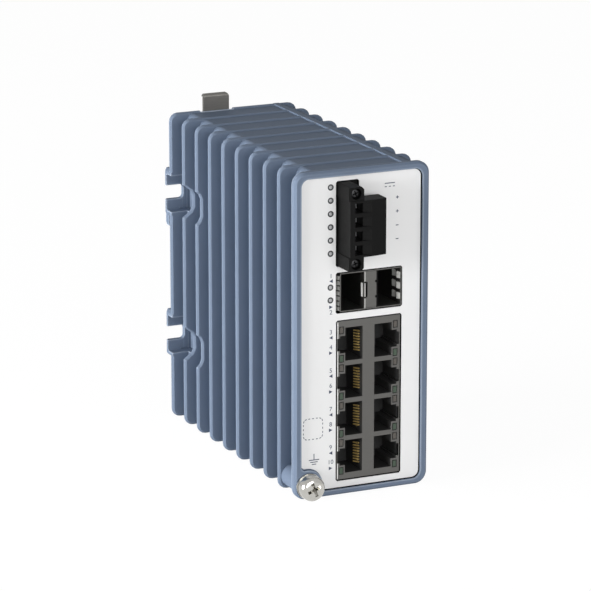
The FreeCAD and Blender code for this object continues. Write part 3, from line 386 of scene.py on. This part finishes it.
def turned(section, steps, axis, centre=(0, 0, 0)):
    # turns a section of (radius, along), which runs from axis to axis or back to its start
    bm = bmesh.new()
    rings = []
    for radius, along in section:
        if radius == 0:
            rings.append([bm.verts.new((0, 0, along))])
            continue
        turns = [2 * math.pi * i / steps for i in range(steps)]
        rings.append([
            bm.verts.new((radius * math.cos(turn), radius * math.sin(turn), along)) for turn in turns
        ])
    for first, second in zip(rings, rings[1:]):
        for i in range(steps):
            corners = [first[i % len(first)], first[(i + 1) % len(first)]]
            corners += [second[(i + 1) % len(second)], second[i % len(second)]]
            unique = list(dict.fromkeys(corners))
            if len(unique) > 2:
                bm.faces.new(unique)
    bmesh.ops.recalc_face_normals(bm, faces=bm.faces)
    bm.transform(Matrix.Translation(Vector(centre)) @ turnTo[axis])
    return bm


def merged(name, parts):
    # several bmeshes joined into one mesh, in millimetres, then taken to metres
    whole = bmesh.new()
    for part in parts:
        scratch = bpy.data.meshes.new("scratch")
        part.to_mesh(scratch)
        whole.from_mesh(scratch)
        bpy.data.meshes.remove(scratch)
        part.free()
    whole.transform(Matrix.Scale(mm, 4))
    mesh = bpy.data.meshes.new(name)
    whole.to_mesh(mesh)
    whole.free()
    return mesh


def slab(outline, axis, start, end):
    # a flat outline pushed from start to end along an axis
    places = {
        "X": lambda a, b, c: (c, a, b),
        "Y": lambda a, b, c: (a, c, b),
        "Z": lambda a, b, c: (a, b, c),
    }[axis]
    bm = bmesh.new()
    near = [bm.verts.new(places(a, b, start)) for a, b in outline]
    far = [bm.verts.new(places(a, b, end)) for a, b in outline]
    bm.faces.new(near)
    bm.faces.new(list(reversed(far)))
    for i in range(len(outline)):
        j = (i + 1) % len(outline)
        bm.faces.new([near[j], near[i], far[i], far[j]])
    bmesh.ops.recalc_face_normals(bm, faces=bm.faces)
    return bm


def box(x0, x1, y0, y1, z0, z1):
    return slab([(x0, z0), (x1, z0), (x1, z1), (x0, z1)], "Y", y0, y1)


def sleeve(stations):
    # a closed skin over outlines in XZ, each at its own depth, and back to the first
    bm = bmesh.new()
    loops = [[bm.verts.new((x, y, z)) for x, z in outline] for outline, y in stations]
    for first, second in zip(loops, loops[1:] + loops[:1]):
        for i in range(len(first)):
            j = (i + 1) % len(first)
            bm.faces.new([first[i], first[j], second[j], second[i]])
    bmesh.ops.recalc_face_normals(bm, faces=bm.faces)
    return bm


def metres(shape):
    shape.transform(Matrix.Scale(mm, 4))
    return shape


# The housing: its driver pockets beside the lugs, and the tight corners of its box

pockets = {
    "left": -21.0, "floor": -16.6, "front": 47.4, "back": 62.2, "wallFace": -17.3, "wall": 2.0,
    "rearWall": 56.0, "heights": [(26.0, 40.0), (81.6, 95.6)],
    "lugInner": -17.6, "lugStart": 59.6, "lugBack": 64.34, "lap": 0.1, "inset": 0.2,
}


def pocketBacks():
    # the walls inside the box that close the pockets
    parts = []
    wall, front, floor, lap = (pockets[k] for k in ("wall", "front", "floor", "lap"))
    lug, start, end = (pockets[k] for k in ("lugInner", "lugStart", "lugBack"))
    back, face, rear = pockets["back"], pockets["wallFace"] - pockets["inset"], pockets["rearWall"]
    for low, high in pockets["heights"]:
        parts.append(box(floor, floor + wall, front - wall, rear, low - wall, high + wall))
        parts.append(box(face, floor + lap, front - wall, rear, high, high + wall))
        parts.append(box(face, floor + lap, front - wall, rear, low - wall, low))
        parts.append(box(face, floor + lap, front - wall, front, low, high))
        # beside the lug
        parts.append(box(lug, floor + wall, back, end, low - wall, high + wall))
        parts.append(box(floor, floor + wall, start, back + lap, low - wall, high + wall))
        parts.append(box(lug, floor + lap, start, back + lap, high, high + wall))
        parts.append(box(lug, floor + lap, start, back + lap, low - wall, low))
    piece("pocket_backs", merged("pocket_backs", parts), "housing_paint", finishName="plain_paint")


def pocketCutters():
    return [
        metres(box(pockets["left"], pockets["floor"], pockets["front"], pockets["back"], low, high))
        for low, high in pockets["heights"]
    ]


corners = {
    "left": -19.6, "low": 0.9, "high": 119.1, "radius": 3.1, "cast": 4.6,
    "front": -53.0, "back": 59.6, "lap": 0.1, "steps": 8,
}


def boxCorners():
    # the crescents that tighten the box's two left corners between the fins
    radius, cast, left, steps = (corners[k] for k in ("radius", "cast", "left", "steps"))
    inner = cast - corners["lap"]
    parts = []
    for edge, way in ((corners["high"], -1), (corners["low"], 1)):
        outline = []
        for i in range(steps + 1):
            turn = math.radians(90 * i / steps)
            outline.append(
                (left + radius * (1 - math.cos(turn)), edge + way * radius * (1 - math.sin(turn)))
            )
        for i in range(steps + 1):
            turn = math.radians(90 - 90 * i / steps)
            outline.append(
                (left + cast - inner * math.cos(turn), edge + way * (cast - inner * math.sin(turn)))
            )
        parts.append(slab(outline, "Y", corners["front"], corners["back"]))
    mesh = merged("box_corners", parts)
    smoothed(mesh, degrees=40.0)
    evenNormals(piece("box_corners", mesh, "housing_paint", finishName="plain_paint"))


print("softening the castings")
softened("main_housing", 0.22, 2, cutters=pocketCutters())
pocketBacks()
boxCorners()
softened("side_cover", 0.16, 2, finishName="plain_paint")
softened("terminal_plug", 0.12, 2)
softened("port_shield", 0.14, 1)
softened("cage_middle_strip", 0.12, 1)
softened("rail_latch", 0.12, 2, body="latch")
softened("cage_springs", 0.08, 1)
print("castings done")


# Print on the label: numbers, arrows, signs and rings, each a thin raised shape

printing = {"rise": 0.03, "sink": 0.02, "fontScale": 1.37, "curveSteps": 3}


def inkFace(outline):
    return slab(outline, "Y", labelFront - printing["rise"], labelFront + printing["sink"])


def digits(text, x, z, height):
    curve = bpy.data.curves.new("digit", "FONT")
    curve.body = text
    curve.size = height * printing["fontScale"]
    curve.align_x = "CENTER"
    curve.align_y = "CENTER"
    curve.extrude = (printing["rise"] + printing["sink"]) / 2
    curve.resolution_u = printing["curveSteps"]
    holder = bpy.data.objects.new("digit", curve)
    bpy.context.scene.collection.objects.link(holder)
    bpy.context.view_layer.update()
    made = bpy.data.meshes.new_from_object(holder)
    bm = bmesh.new()
    bm.from_mesh(made)
    middle = labelFront - (printing["rise"] - printing["sink"]) / 2
    bm.transform(Matrix.Translation((x, middle, z)) @ Matrix.Rotation(math.radians(90), 4, "X"))
    bpy.data.objects.remove(holder)
    bpy.data.curves.remove(curve)
    bpy.data.meshes.remove(made)
    return bm


portMarks = {
    "column": -11.75, "digitHeight": 1.7, "arrow": 1.35,
    "numbers": [
        ("1", 81.3, 79.5), ("2", 68.0, 70.0), ("3", 60.7, 58.7), ("4", 55.1, 53.1),
        ("5", 46.5, 44.5), ("6", 40.9, 38.7), ("7", 32.2, 30.1), ("8", 26.5, 24.4),
        ("9", 17.9, 15.8), ("10", 12.4, 10.1),
    ],
}


def portNumbers():
    marks = []
    column = portMarks["column"]
    reach = portMarks["arrow"] / 2
    for text, digitZ, arrowZ in portMarks["numbers"]:
        marks.append(digits(text, column, digitZ, portMarks["digitHeight"]))
        way = 1 if int(text) % 2 == 0 else -1
        marks.append(
            inkFace([
                (column + way * reach, arrowZ), (column - way * reach, arrowZ - reach),
                (column - way * reach, arrowZ + reach),
            ])
        )
    return marks


signs = {
    "line": 0.32,
    "dcLeft": 9.2, "dcRight": 13.2, "dcZ": 112.4, "dcGap": 0.45,
    "polesX": 14.2, "poleArm": 0.55, "poles": [("+", 107.6), ("+", 102.5), ("-", 97.4), ("-", 92.4)],
    "stampLeft": -22.5, "stampRight": -14.9, "stampLow": 21.9, "stampHigh": 29.6, "stampLine": 0.9,
    "stampDashes": 3, "stampDash": 0.66, "stampCorner": 1.5, "stampTurns": [(8, 38), (52, 82)],
    "earthX": -18.3, "earthTop": 16.4, "earthBar": 14.1, "earthPitch": 0.8,
    "earthHalves": [2.05, 1.45, 0.85],
}


def bar(x0, x1, z0, z1):
    return inkFace([(x0, z0), (x1, z0), (x1, z1), (x0, z1)])


def currentSign():
    # direct current: a line over three dashes
    left, right, z, line = signs["dcLeft"], signs["dcRight"], signs["dcZ"], signs["line"]
    above, below = z + signs["dcGap"], z - signs["dcGap"]
    dash = (right - left) / 5
    marks = [bar(left, right, above, above + line)]
    for i in range(3):
        marks.append(bar(left + 2 * i * dash, left + (2 * i + 1) * dash, below - line, below))
    return marks


def poleSigns():
    marks = []
    x, line, arm = signs["polesX"], signs["line"], signs["poleArm"]
    for sign, z in signs["poles"]:
        marks.append(bar(x - arm, x + arm, z - line / 2, z + line / 2))
        if sign == "+":
            marks.append(bar(x - line / 2, x + line / 2, z + line / 2, z + arm))
            marks.append(bar(x - line / 2, x + line / 2, z - arm, z - line / 2))
    return marks


def stampFrame():
    # the dashed square, its corners turned in short dashes too
    left, right, low, high = (signs[k] for k in ("stampLeft", "stampRight", "stampLow", "stampHigh"))
    corner, line = signs["stampCorner"], signs["line"] * signs["stampLine"]
    dashes, dash = signs["stampDashes"], signs["stampDash"]
    marks = []
    for start, end, fixed, upright in (
        (left + corner, right - corner, low, False), (left + corner, right - corner, high, False),
        (low + corner, high - corner, left, True), (low + corner, high - corner, right, True),
    ):
        pitch = (end - start) / dashes
        for i in range(dashes):
            a = start + (i + 0.5) * pitch - dash / 2
            b = a + dash
            if upright:
                marks.append(bar(fixed - line / 2, fixed + line / 2, a, b))
            else:
                marks.append(bar(a, b, fixed - line / 2, fixed + line / 2))
    for x, z, wayX, wayZ in (
        (left, low, 1, 1), (right, low, -1, 1), (left, high, 1, -1), (right, high, -1, -1),
    ):
        centre = Vector((x + wayX * corner, z + wayZ * corner))
        for begin, end in signs["stampTurns"]:
            a, b = (
                centre - corner * Vector((wayX * math.cos(turn), wayZ * math.sin(turn)))
                for turn in (math.radians(begin), math.radians(end))
            )
            side = (b - a).normalized()
            across = Vector((-side.y, side.x)) * line / 2
            marks.append(
                inkFace([tuple(a - across), tuple(b - across), tuple(b + across), tuple(a + across)])
            )
    return marks


def earthSign():
    x, top, level, line = signs["earthX"], signs["earthTop"], signs["earthBar"], signs["line"]
    marks = [bar(x - line / 2, x + line / 2, level + line / 2, top)]
    for i, half in enumerate(signs["earthHalves"]):
        z = level - i * signs["earthPitch"]
        marks.append(bar(x - half, x + half, z - line / 2, z + line / 2))
    return marks


ink = portNumbers() + currentSign() + poleSigns() + stampFrame() + earthSign()
piece("label_print", merged("label_print", ink), "label_film", finishName="print_ink")
print("label print done")


# Status lights: a dark ring with a milky domed lens in it

lights = {
    "x": -11.96, "top": 113.6, "pitch": 4.81, "count": 6, "ports": (77.2, 72.5),
    "ring": 1.16, "slope": 0.04, "proud": 0.05, "sunk": 0.02, "steps": 28,
    "lens": 0.62, "rim": 0.03, "rise": 0.14, "crown": 0.02,
    "dome": [(0.8, 0.75), (0.45, 1.0)],      # shares of the lens's radius and of its rise
}


def lightRings():
    inner, outer, slope, steps = (lights[k] for k in ("lens", "ring", "slope", "steps"))
    sunk, proud, rise = -lights["sunk"], lights["proud"], lights["rise"]
    band = [
        (inner, sunk), (outer, sunk), (outer - slope, proud), (inner + slope, proud), (inner, sunk),
    ]
    dome = [(0, sunk), (inner, sunk), (inner, lights["rim"])]
    dome += [(inner * across, rise * up) for across, up in lights["dome"]]
    dome.append((0, rise + lights["crown"]))
    heights = [lights["top"] - i * lights["pitch"] for i in range(lights["count"])]
    rings = []
    lenses = []
    for z in heights + list(lights["ports"]):
        centre = (lights["x"], labelFront, z)
        rings.append(turned(band, steps, "-Y", centre))
        lenses.append(turned(dome, steps, "-Y", centre))
    ringMesh = merged("light_rings", rings)
    lensMesh = merged("light_lenses", lenses)
    smoothed(lensMesh, degrees=50.0)
    piece("light_rings", ringMesh, "label_film", finishName="ring_ink")
    piece("light_lenses", lensMesh, "clear_plastic")


lightRings()
print("status lights done")


# Screws with a crowned head and a cross recess

crossHead = {
    "steps": 40, "arcSteps": 6, "turn": 20,
    "side": 0.5, "crown": 1.02, "slotTop": 1.2, "shoulder": 0.8, "slotFloor": 0.25,      # of the height
    "flat": 0.5, "reach": 0.29, "half": 0.065, "foot": 0.25,      # of the radius, width, width, reach
}


def crossScrew(centre, axis, width, height, shank, length):
    radius, side, flat = width / 2, crossHead["side"], crossHead["flat"]
    section = [(0, -length), (shank / 2, -length), (shank / 2, 0), (radius, 0), (radius, height * side)]
    for i in range(1, crossHead["arcSteps"] + 1):
        turn = math.radians(90 * i / crossHead["arcSteps"])
        out, up = flat + (1 - flat) * math.cos(turn), side + (1 - side) * math.sin(turn)
        section.append((radius * out, height * up))
    section.append((0, height * crossHead["crown"]))
    body = turned(section, crossHead["steps"], "Z")
    blank = bpy.data.meshes.new("blank")
    body.to_mesh(blank)
    body.free()
    top, shoulder, low = (height * crossHead[k] for k in ("slotTop", "shoulder", "slotFloor"))
    reach, half = width * crossHead["reach"], width * crossHead["half"]
    foot = reach * crossHead["foot"]
    outline = [
        (-reach, top), (reach, top), (reach, shoulder), (foot, low), (-foot, low), (-reach, shoulder),
    ]
    wedges = []
    for turn in (0, 90):
        wedge = slab(outline, "Y", -half, half)
        wedge.transform(Matrix.Rotation(math.radians(turn + crossHead["turn"]), 4, "Z"))
        wedges.append(wedge)
    result = carved(blank, wedges)
    result.transform(Matrix.Translation(Vector(centre)) @ turnTo[axis])
    return result


def islands(node):
    # the boxes of a node's separate solids, in millimetres
    bm = bmesh.new()
    bm.from_mesh(nodes[node].data)
    bmesh.ops.remove_doubles(bm, verts=bm.verts, dist=weld)
    left = set(bm.verts)
    found = []
    while left:
        pile = [left.pop()]
        seen = list(pile)
        while pile:
            for edge in pile.pop().link_edges:
                for vert in edge.verts:
                    if vert in left:
                        left.remove(vert)
                        pile.append(vert)
                        seen.append(vert)
        low = Vector([min(v.co[k] for v in seen) for k in range(3)]) / mm
        high = Vector([max(v.co[k] for v in seen) for k in range(3)]) / mm
        found.append((low, high))
    bm.free()
    found.sort(key=lambda pair: (round(pair[0].z, 2), round(pair[0].y, 2), round(pair[0].x, 2)))
    return found


screwKinds = {
    "cover_screws": {"axis": "X", "height": 2.0, "shank": 3.0},
    "board_screws": {"axis": "X", "height": 1.9, "shank": 3.0},
    "plug_flange_screws": {"axis": "-Y", "height": 1.6, "shank": 2.5, "finish": "dark_screw"},
    "latch_guide_screws": {"axis": "Y", "height": 1.6, "shank": 2.8},
    "ground_screw": {"axis": "-Y", "height": 3.6, "shank": 5.0},
}


def fineScrews():
    for node, kind in screwKinds.items():
        made = []
        for low, high in islands(node):
            middle = (low + high) / 2
            axis, height = kind["axis"], kind["height"]
            along = {"X": 0, "Y": 1, "-Y": 1}[axis]
            total = high[along] - low[along]
            seat = middle.copy()
            seat[along] = low[along] + height if axis == "-Y" else high[along] - height
            made.append(crossScrew(
                seat, axis, high.z - low.z, height / crossHead["crown"], kind["shank"], total - height
            ))
        mesh = merged(node + "_fine", made)
        smoothed(mesh, degrees=32.0)
        piece(node + "_fine", mesh, slots[node], replaced=[node], finishName=kind.get("finish"))


fineScrews()
print("screws done")


# The latch's coil spring

def latchSpring():
    coil = {"wire": 0.45, "turns": 6, "stepsPerTurn": 28, "sides": 10}
    low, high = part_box("latch_spring")
    centre = (low + high) / 2 / mm
    mean = (high.x - low.x) / 2 / mm - coil["wire"] / 2
    bottom, top = low.z / mm + coil["wire"] / 2, high.z / mm - coil["wire"] / 2
    bm = bmesh.new()
    steps = coil["turns"] * coil["stepsPerTurn"]
    rings = []
    for i in range(steps + 1):
        turn = 2 * math.pi * i / coil["stepsPerTurn"]
        out = Vector((math.cos(turn), math.sin(turn), 0))
        spot = Vector((centre.x, centre.y, bottom + (top - bottom) * i / steps)) + out * mean
        ring = []
        for k in range(coil["sides"]):
            around = 2 * math.pi * k / coil["sides"]
            offset = out * math.cos(around) + Vector((0, 0, 1)) * math.sin(around)
            ring.append(bm.verts.new(spot + offset * coil["wire"] / 2))
        rings.append(ring)
    for first, second in zip(rings, rings[1:]):
        for k in range(coil["sides"]):
            j = (k + 1) % coil["sides"]
            bm.faces.new([first[k], first[j], second[j], second[k]])
    bm.faces.new(list(reversed(rings[0])))
    bm.faces.new(rings[-1])
    bmesh.ops.recalc_face_normals(bm, faces=bm.faces)
    mesh = merged("latch_spring_fine", [bm])
    smoothed(mesh, degrees=60.0)
    spring = piece("latch_spring_fine", mesh, "spring_steel", replaced=["latch_spring"])
    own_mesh(spring)


latchSpring()
print("latch spring done")


# Front details: black painted shade in the cut-outs, the shield's fold in a painted highlight, the
# gasket's tips and the gap round the label in painted shade, the plug's flange blocks, and the tongue
# and strip of the module cage with painted highlights and shade

cutouts = {
    "sheet": 0.04, "depth": 2.9, "corner": 0.5, "sunk": 0.02, "gap": 0.01,
    "edges": [(-9.8, -0.95, 84.45, 115.55), (-9.8, 16.325, 67.35, 82.25), (-9.65, 16.15, 4.95, 64.65)],
}


def cutCorners(x0, x1, z0, z1, cut):
    return [
        (x0 + cut, z0), (x1 - cut, z0), (x1, z0 + cut), (x1, z1 - cut),
        (x1 - cut, z1), (x0 + cut, z1), (x0, z1 - cut), (x0, z0 + cut),
    ]


def openingShadeSleeves():
    # a thin black sleeve against the walls of each cut-out, painted shade for the dark gaps round the
    # parts in it
    parts = []
    sheet, corner = cutouts["sheet"], cutouts["corner"]
    front, back = labelFront + cutouts["sunk"], labelFront + cutouts["depth"]
    gap = cutouts["gap"]
    for x0, x1, z0, z1 in cutouts["edges"]:
        outer = cutCorners(x0 + gap, x1 - gap, z0 + gap, z1 - gap, corner)
        inner = cutCorners(x0 + sheet, x1 - sheet, z0 + sheet, z1 - sheet, corner)
        parts.append(sleeve([(outer, front), (outer, back), (inner, back), (inner, front)]))
    piece("opening_shade_sleeves", merged("opening_shade_sleeves", parts), "black_moulding", finishName="shadow_black")


openingShadeSleeves()

fold = {
    "top": 55.6, "pitch": 13.97, "count": 4, "mouth": 2.3, "radius": 0.5, "proud": 0.05,
    "inset": 0.3, "steps": 6,
}


def shieldFold():
    # the rounded fold on the shield's left edge, cut away at each jack's mouth, in near-white steel that
    # paints its highlight
    low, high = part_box("port_shield")
    left, front = low.x / mm, low.y / mm
    radius, reach, steps = fold["radius"], fold["radius"] + fold["proud"], fold["steps"]
    outline = [(left + radius, front + radius)]
    for i in range(steps + 1):
        turn = math.radians(90 * i / steps)
        outline.append((left + radius - reach * math.cos(turn), front + radius - reach * math.sin(turn)))
    stops = [high.z / mm - fold["inset"]]
    for i in range(fold["count"]):
        z = fold["top"] - fold["pitch"] * i
        stops += [z + fold["mouth"], z - fold["mouth"]]
    stops.append(low.z / mm + fold["inset"])
    parts = [slab(outline, "Z", stops[i + 1], stops[i]) for i in range(0, len(stops), 2)]
    mesh = merged("shield_fold", parts)
    smoothed(mesh, degrees=40.0)
    piece("shield_fold", mesh, "stamped_steel", finishName="fold_highlight_steel")


shieldFold()

tips = {"count": 10, "width": 1.3, "thick": 0.2, "deep": 0.9, "gap": 0.09, "sunk": 0.03}


def gasketTipShade():
    # the ends of the gasket's fingers above and below the cage's mouth, black as painted shade
    low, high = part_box("cage_shell")
    x0, x1 = low.x / mm, high.x / mm
    pitch = (x1 - x0) / tips["count"]
    parts = []
    for i in range(tips["count"]):
        start = x0 + (i + 0.5) * pitch - tips["width"] / 2
        for z in (high.z / mm + tips["gap"], low.z / mm - tips["gap"] - tips["thick"]):
            front = labelFront + tips["sunk"]
            end, back, top = start + tips["width"], front + tips["deep"], z + tips["thick"]
            parts.append(box(start, end, front, back, z, top))
    piece("gasket_tip_shade", merged("gasket_tip_shade", parts), "spring_steel", finishName="shadow_black")


gasketTipShade()

labelRing = {
    "wide": 0.33, "inside": 0.5, "radius": 2.6, "rise": 0.35, "lip": 0.06,
    "sunk": 0.05, "deep": 0.3,
}


def roundedOutline(x0, x1, z0, z1, radius, steps=8):
    outline = []
    for x, z, start in (
        (x1 - radius, z0 + radius, 270), (x1 - radius, z1 - radius, 0),
        (x0 + radius, z1 - radius, 90), (x0 + radius, z0 + radius, 180),
    ):
        for i in range(steps + 1):
            turn = math.radians(start + 90 * i / steps)
            outline.append((x + radius * math.cos(turn), z + radius * math.sin(turn)))
    return outline


def labelGapShade():
    # black painted shade in the gap between the label and the wall of its recess
    x0, z0, x1, z1 = (v / mm for v in (labelLow.x, labelLow.z, labelHigh.x, labelHigh.z))

    def ring(grow):
        return roundedOutline(x0 - grow, x1 + grow, z0 - grow, z1 + grow, labelRing["radius"] + grow)

    outer, inner = ring(labelRing["wide"]), ring(-labelRing["inside"])
    lip = ring(labelRing["wide"] - labelRing["lip"])
    front, base = labelFront - labelRing["rise"], labelFront + labelRing["sunk"]
    back = labelFront + labelRing["deep"]
    gap = sleeve([
        (outer, front), (outer, back), (inner, back), (inner, base), (lip, base), (lip, front),
    ])
    piece("label_gap_shade", merged("label_gap_shade", [gap]), "label_film", finishName="shadow_black")


labelGapShade()

ears = {
    "proud": 0.3, "left": -9.1, "right": -3.6, "middle": 100.0, "inner": 10.2, "outer": 15.24,
    "inset": 0.45, "sunk": 0.1, "line": 0.12, "jointProud": 0.02, "jointFront": 0.19, "jointBack": 0.05,
}


def plugEars():
    # the two flange blocks stand a little proud of the plug's side, with dark joints beside them
    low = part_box("terminal_plug")[0].y / mm + ears["inset"]
    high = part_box("terminal_header")[0].y / mm
    left, right, sunk, line = (ears[k] for k in ("left", "right", "sunk", "line"))
    parts = []
    lines = []
    for way in (-1, 1):
        level = ears["middle"] + way * ears["inner"]
        z0, z1 = sorted((level, ears["middle"] + way * (ears["outer"] - sunk)))
        parts.append(box(left - ears["proud"], left + sunk, low, high, z0, z1))
        z0, z1 = level - line, level + line
        lines.append(box(left - ears["jointProud"], left + sunk, low, high, z0, z1))
        lines.append(box(left, right, low - ears["jointFront"], low - ears["jointBack"], z0, z1))
    piece("plug_ears", merged("plug_ears", parts), "black_moulding")
    piece("plug_joints", merged("plug_joints", lines), "black_moulding", finishName="shadow_black")


plugEars()

tongue = {
    "start": 0.25, "front": 0.75, "peak": 1.45, "bend": 0.45, "height": 5.0, "sheet": 0.05,
    "wall": 0.35,
}


def tongueFace():
    # the slope of the sprung tongue that looks to the left, near-white as a painted highlight
    low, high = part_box("cage_middle_strip")
    sheet, bend = tongue["sheet"], tongue["bend"]
    wall = low.x / mm - sheet - tongue["wall"]
    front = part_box("cage_shell")[0].y / mm
    middle = (low.z + high.z) / 2 / mm
    share = (tongue["front"] - tongue["start"]) / (tongue["peak"] - tongue["start"])
    near, far = front + tongue["front"], front + tongue["peak"]
    slope = [
        (wall - share * bend, near), (wall - bend, far),
        (wall - bend - sheet, far), (wall - share * bend - sheet, near),
    ]
    half = tongue["height"] / 2
    face = merged("tongue_face", [slab(slope, "Z", middle - half, middle + half)])
    piece("tongue_face", face, "stamped_steel", finishName="tongue_highlight")


tongueFace()

divider = {
    "margin": 0.3, "lap": 0.22, "nick": 0.32, "proud": 0.04, "deep": 0.1,
    "dark": 0.4, "darkProud": 0.03, "nickProud": 0.05, "nickReach": 0.2,
}


def dividerLitAndShadedEdges():
    # the sheet's cut edge left of the middle strip, pale as a painted highlight, and black painted shade
    # on the edge right of it and in the nicks
    low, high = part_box("cage_middle_strip")
    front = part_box("cage_shell")[0].y / mm
    z0, z1 = low.z / mm, high.z / mm
    middle = (z0 + z1) / 2
    nick, margin, reach = divider["nick"], divider["margin"], divider["nickReach"]
    half = tongue["height"] / 2 + margin
    lower, upper = middle - half, middle + half
    edge, back = low.x / mm, front + divider["deep"]
    stops = [z0, lower - nick, lower + nick, upper - nick, upper + nick, z1]
    parts = [
        box(edge - margin, edge + divider["lap"], front - divider["proud"], back, start, end)
        for start, end in zip(stops[::2], stops[1::2])
    ]
    piece("divider_lit_edges", merged("divider_lit_edges", parts), "stamped_steel", finishName="lit_cut_edge")
    x0, x1 = high.x / mm - divider["deep"], high.x / mm + divider["dark"]
    flush, proud = front - divider["darkProud"], front - divider["nickProud"]
    # painted shade: black along the strip's right edge and in the nicks
    dark = [box(x0, x1, flush, back, z0, z1)]
    for level in (lower, upper):
        bottom, top = level - nick, level + nick
        dark.append(box(x0 - reach, x1 + reach, proud, back, bottom, top))
        dark.append(box(edge - margin, edge + margin, flush, back, bottom, top))
    piece("divider_shade", merged("divider_shade", dark), "stamped_steel", finishName="shadow_black")


dividerLitAndShadedEdges()
print("front details done")


# Stage: floor, world light, lamps and camera

def seenRays(tree):
    # 1 for what the camera sees straight, or in a mirror or through glass
    path = tree.nodes.new("ShaderNodeLightPath")
    seen = Wire(tree, path.outputs["Is Camera Ray"])
    for kind in ("Is Glossy Ray", "Is Transmission Ray"):
        seen = seen.maths("MAXIMUM", Wire(tree, path.outputs[kind]))
    return seen


ground = {
    "half": 6.0, "drop": 0.0005, "colour": (0.9, 0.9, 0.9, 1), "glow": 1.06, "glowShare": 0.9,
}


def makeStage():
    # a pale floor that looks nearly white and still takes shadows
    floorMesh = bpy.data.meshes.new("floor")
    far = ground["half"]
    floorMesh.from_pydata(
        [(-far, -far, 0), (far, -far, 0), (far, far, 0), (-far, far, 0)], [], [(0, 1, 2, 3)]
    )
    floor = bpy.data.objects.new("floor", floorMesh)
    floor.location = (0, 0, -ground["drop"])
    bpy.context.scene.collection.objects.link(floor)
    material = bpy.data.materials.new("paleFloor")
    material.use_nodes = True
    tree = material.node_tree
    tree.nodes.clear()
    out = tree.nodes.new("ShaderNodeOutputMaterial")
    matt = tree.nodes.new("ShaderNodeBsdfDiffuse")
    matt.inputs["Color"].default_value = ground["colour"]
    glow = tree.nodes.new("ShaderNodeEmission")
    glow.inputs["Strength"].default_value = ground["glow"]
    share = seenRays(tree) * ground["glowShare"]
    mix = tree.nodes.new("ShaderNodeMixShader")
    tree.links.new(share.socket, mix.inputs[0])
    tree.links.new(matt.outputs[0], mix.inputs[1])
    tree.links.new(glow.outputs[0], mix.inputs[2])
    tree.links.new(mix.outputs[0], out.inputs[0])
    floorMesh.materials.append(material)


sky = {"horizon": 0.5, "zenith": 0.03}


def makeWorld():
    # plain white to look at, and a soft light that is weaker from above
    world = bpy.data.worlds.new("studio")
    bpy.context.scene.world = world
    world.use_nodes = True
    tree = world.node_tree
    tree.nodes.clear()
    out = tree.nodes.new("ShaderNodeOutputWorld")
    seen = tree.nodes.new("ShaderNodeBackground")
    seen.inputs["Strength"].default_value = 1.0
    fill = tree.nodes.new("ShaderNodeBackground")
    fill.inputs["Color"].default_value = (1.0, 1.0, 1.0, 1)
    spot = tree.nodes.new("ShaderNodeTexCoord")
    parts = tree.nodes.new("ShaderNodeSeparateXYZ")
    tree.links.new(spot.outputs["Generated"], parts.inputs[0])
    height = tree.nodes.new("ShaderNodeMapRange")
    height.inputs["To Min"].default_value = sky["horizon"]
    height.inputs["To Max"].default_value = sky["zenith"]
    tree.links.new(parts.outputs["Z"], height.inputs["Value"])
    tree.links.new(height.outputs["Result"], fill.inputs["Strength"])
    mix = tree.nodes.new("ShaderNodeMixShader")
    tree.links.new(seenRays(tree).socket, mix.inputs[0])
    tree.links.new(fill.outputs[0], mix.inputs[1])
    tree.links.new(seen.outputs[0], mix.inputs[2])
    tree.links.new(mix.outputs[0], out.inputs[0])


# in metres and watts
lamps = {
    "keyLeft": {"spot": (-1.7, -0.02, 0.12), "size": (1.4, 0.9), "power": 80.0},
    "frontFill": {"spot": (-0.1, -1.7, 0.3), "size": (1.2, 1.0), "power": 20.0},
}
lampAim = (0, 0, 0.06)


def makeLamps():
    for name, kind in lamps.items():
        data = bpy.data.lights.new(name, "AREA")
        data.shape = "RECTANGLE"
        data.size, data.size_y = kind["size"]
        data.energy = kind["power"]
        thing = bpy.data.objects.new(name, data)
        thing.location = kind["spot"]
        thing.rotation_mode = "QUATERNION"
        thing.rotation_quaternion = (Vector(lampAim) - thing.location).to_track_quat("-Z", "Y")
        bpy.context.scene.collection.objects.link(thing)


# the spot in millimetres, the focal length and the image in pixels, the sensor in millimetres
view = {
    "spot": (-527.39, -1146.97, 396.09), "azimuth": 24.664, "elevation": 14.913,
    "focal": 3529.395, "image": 591, "sensor": 36.0, "farClip": 50.0,
}


def makeCamera():
    data = bpy.data.cameras.new("camera")
    data.sensor_width = view["sensor"]
    data.lens = view["focal"] / view["image"] * view["sensor"]
    data.clip_end = view["farClip"]
    camera = bpy.data.objects.new("camera", data)
    camera.location = Vector(view["spot"]) * mm
    camera.rotation_euler = (
        math.radians(90 - view["elevation"]), 0, math.radians(-view["azimuth"])
    )
    bpy.context.scene.collection.objects.link(camera)
    bpy.context.scene.camera = camera


makeStage()
makeWorld()
makeLamps()
makeCamera()
bpy.context.scene.view_settings.view_transform = "Standard"
print("stage done")
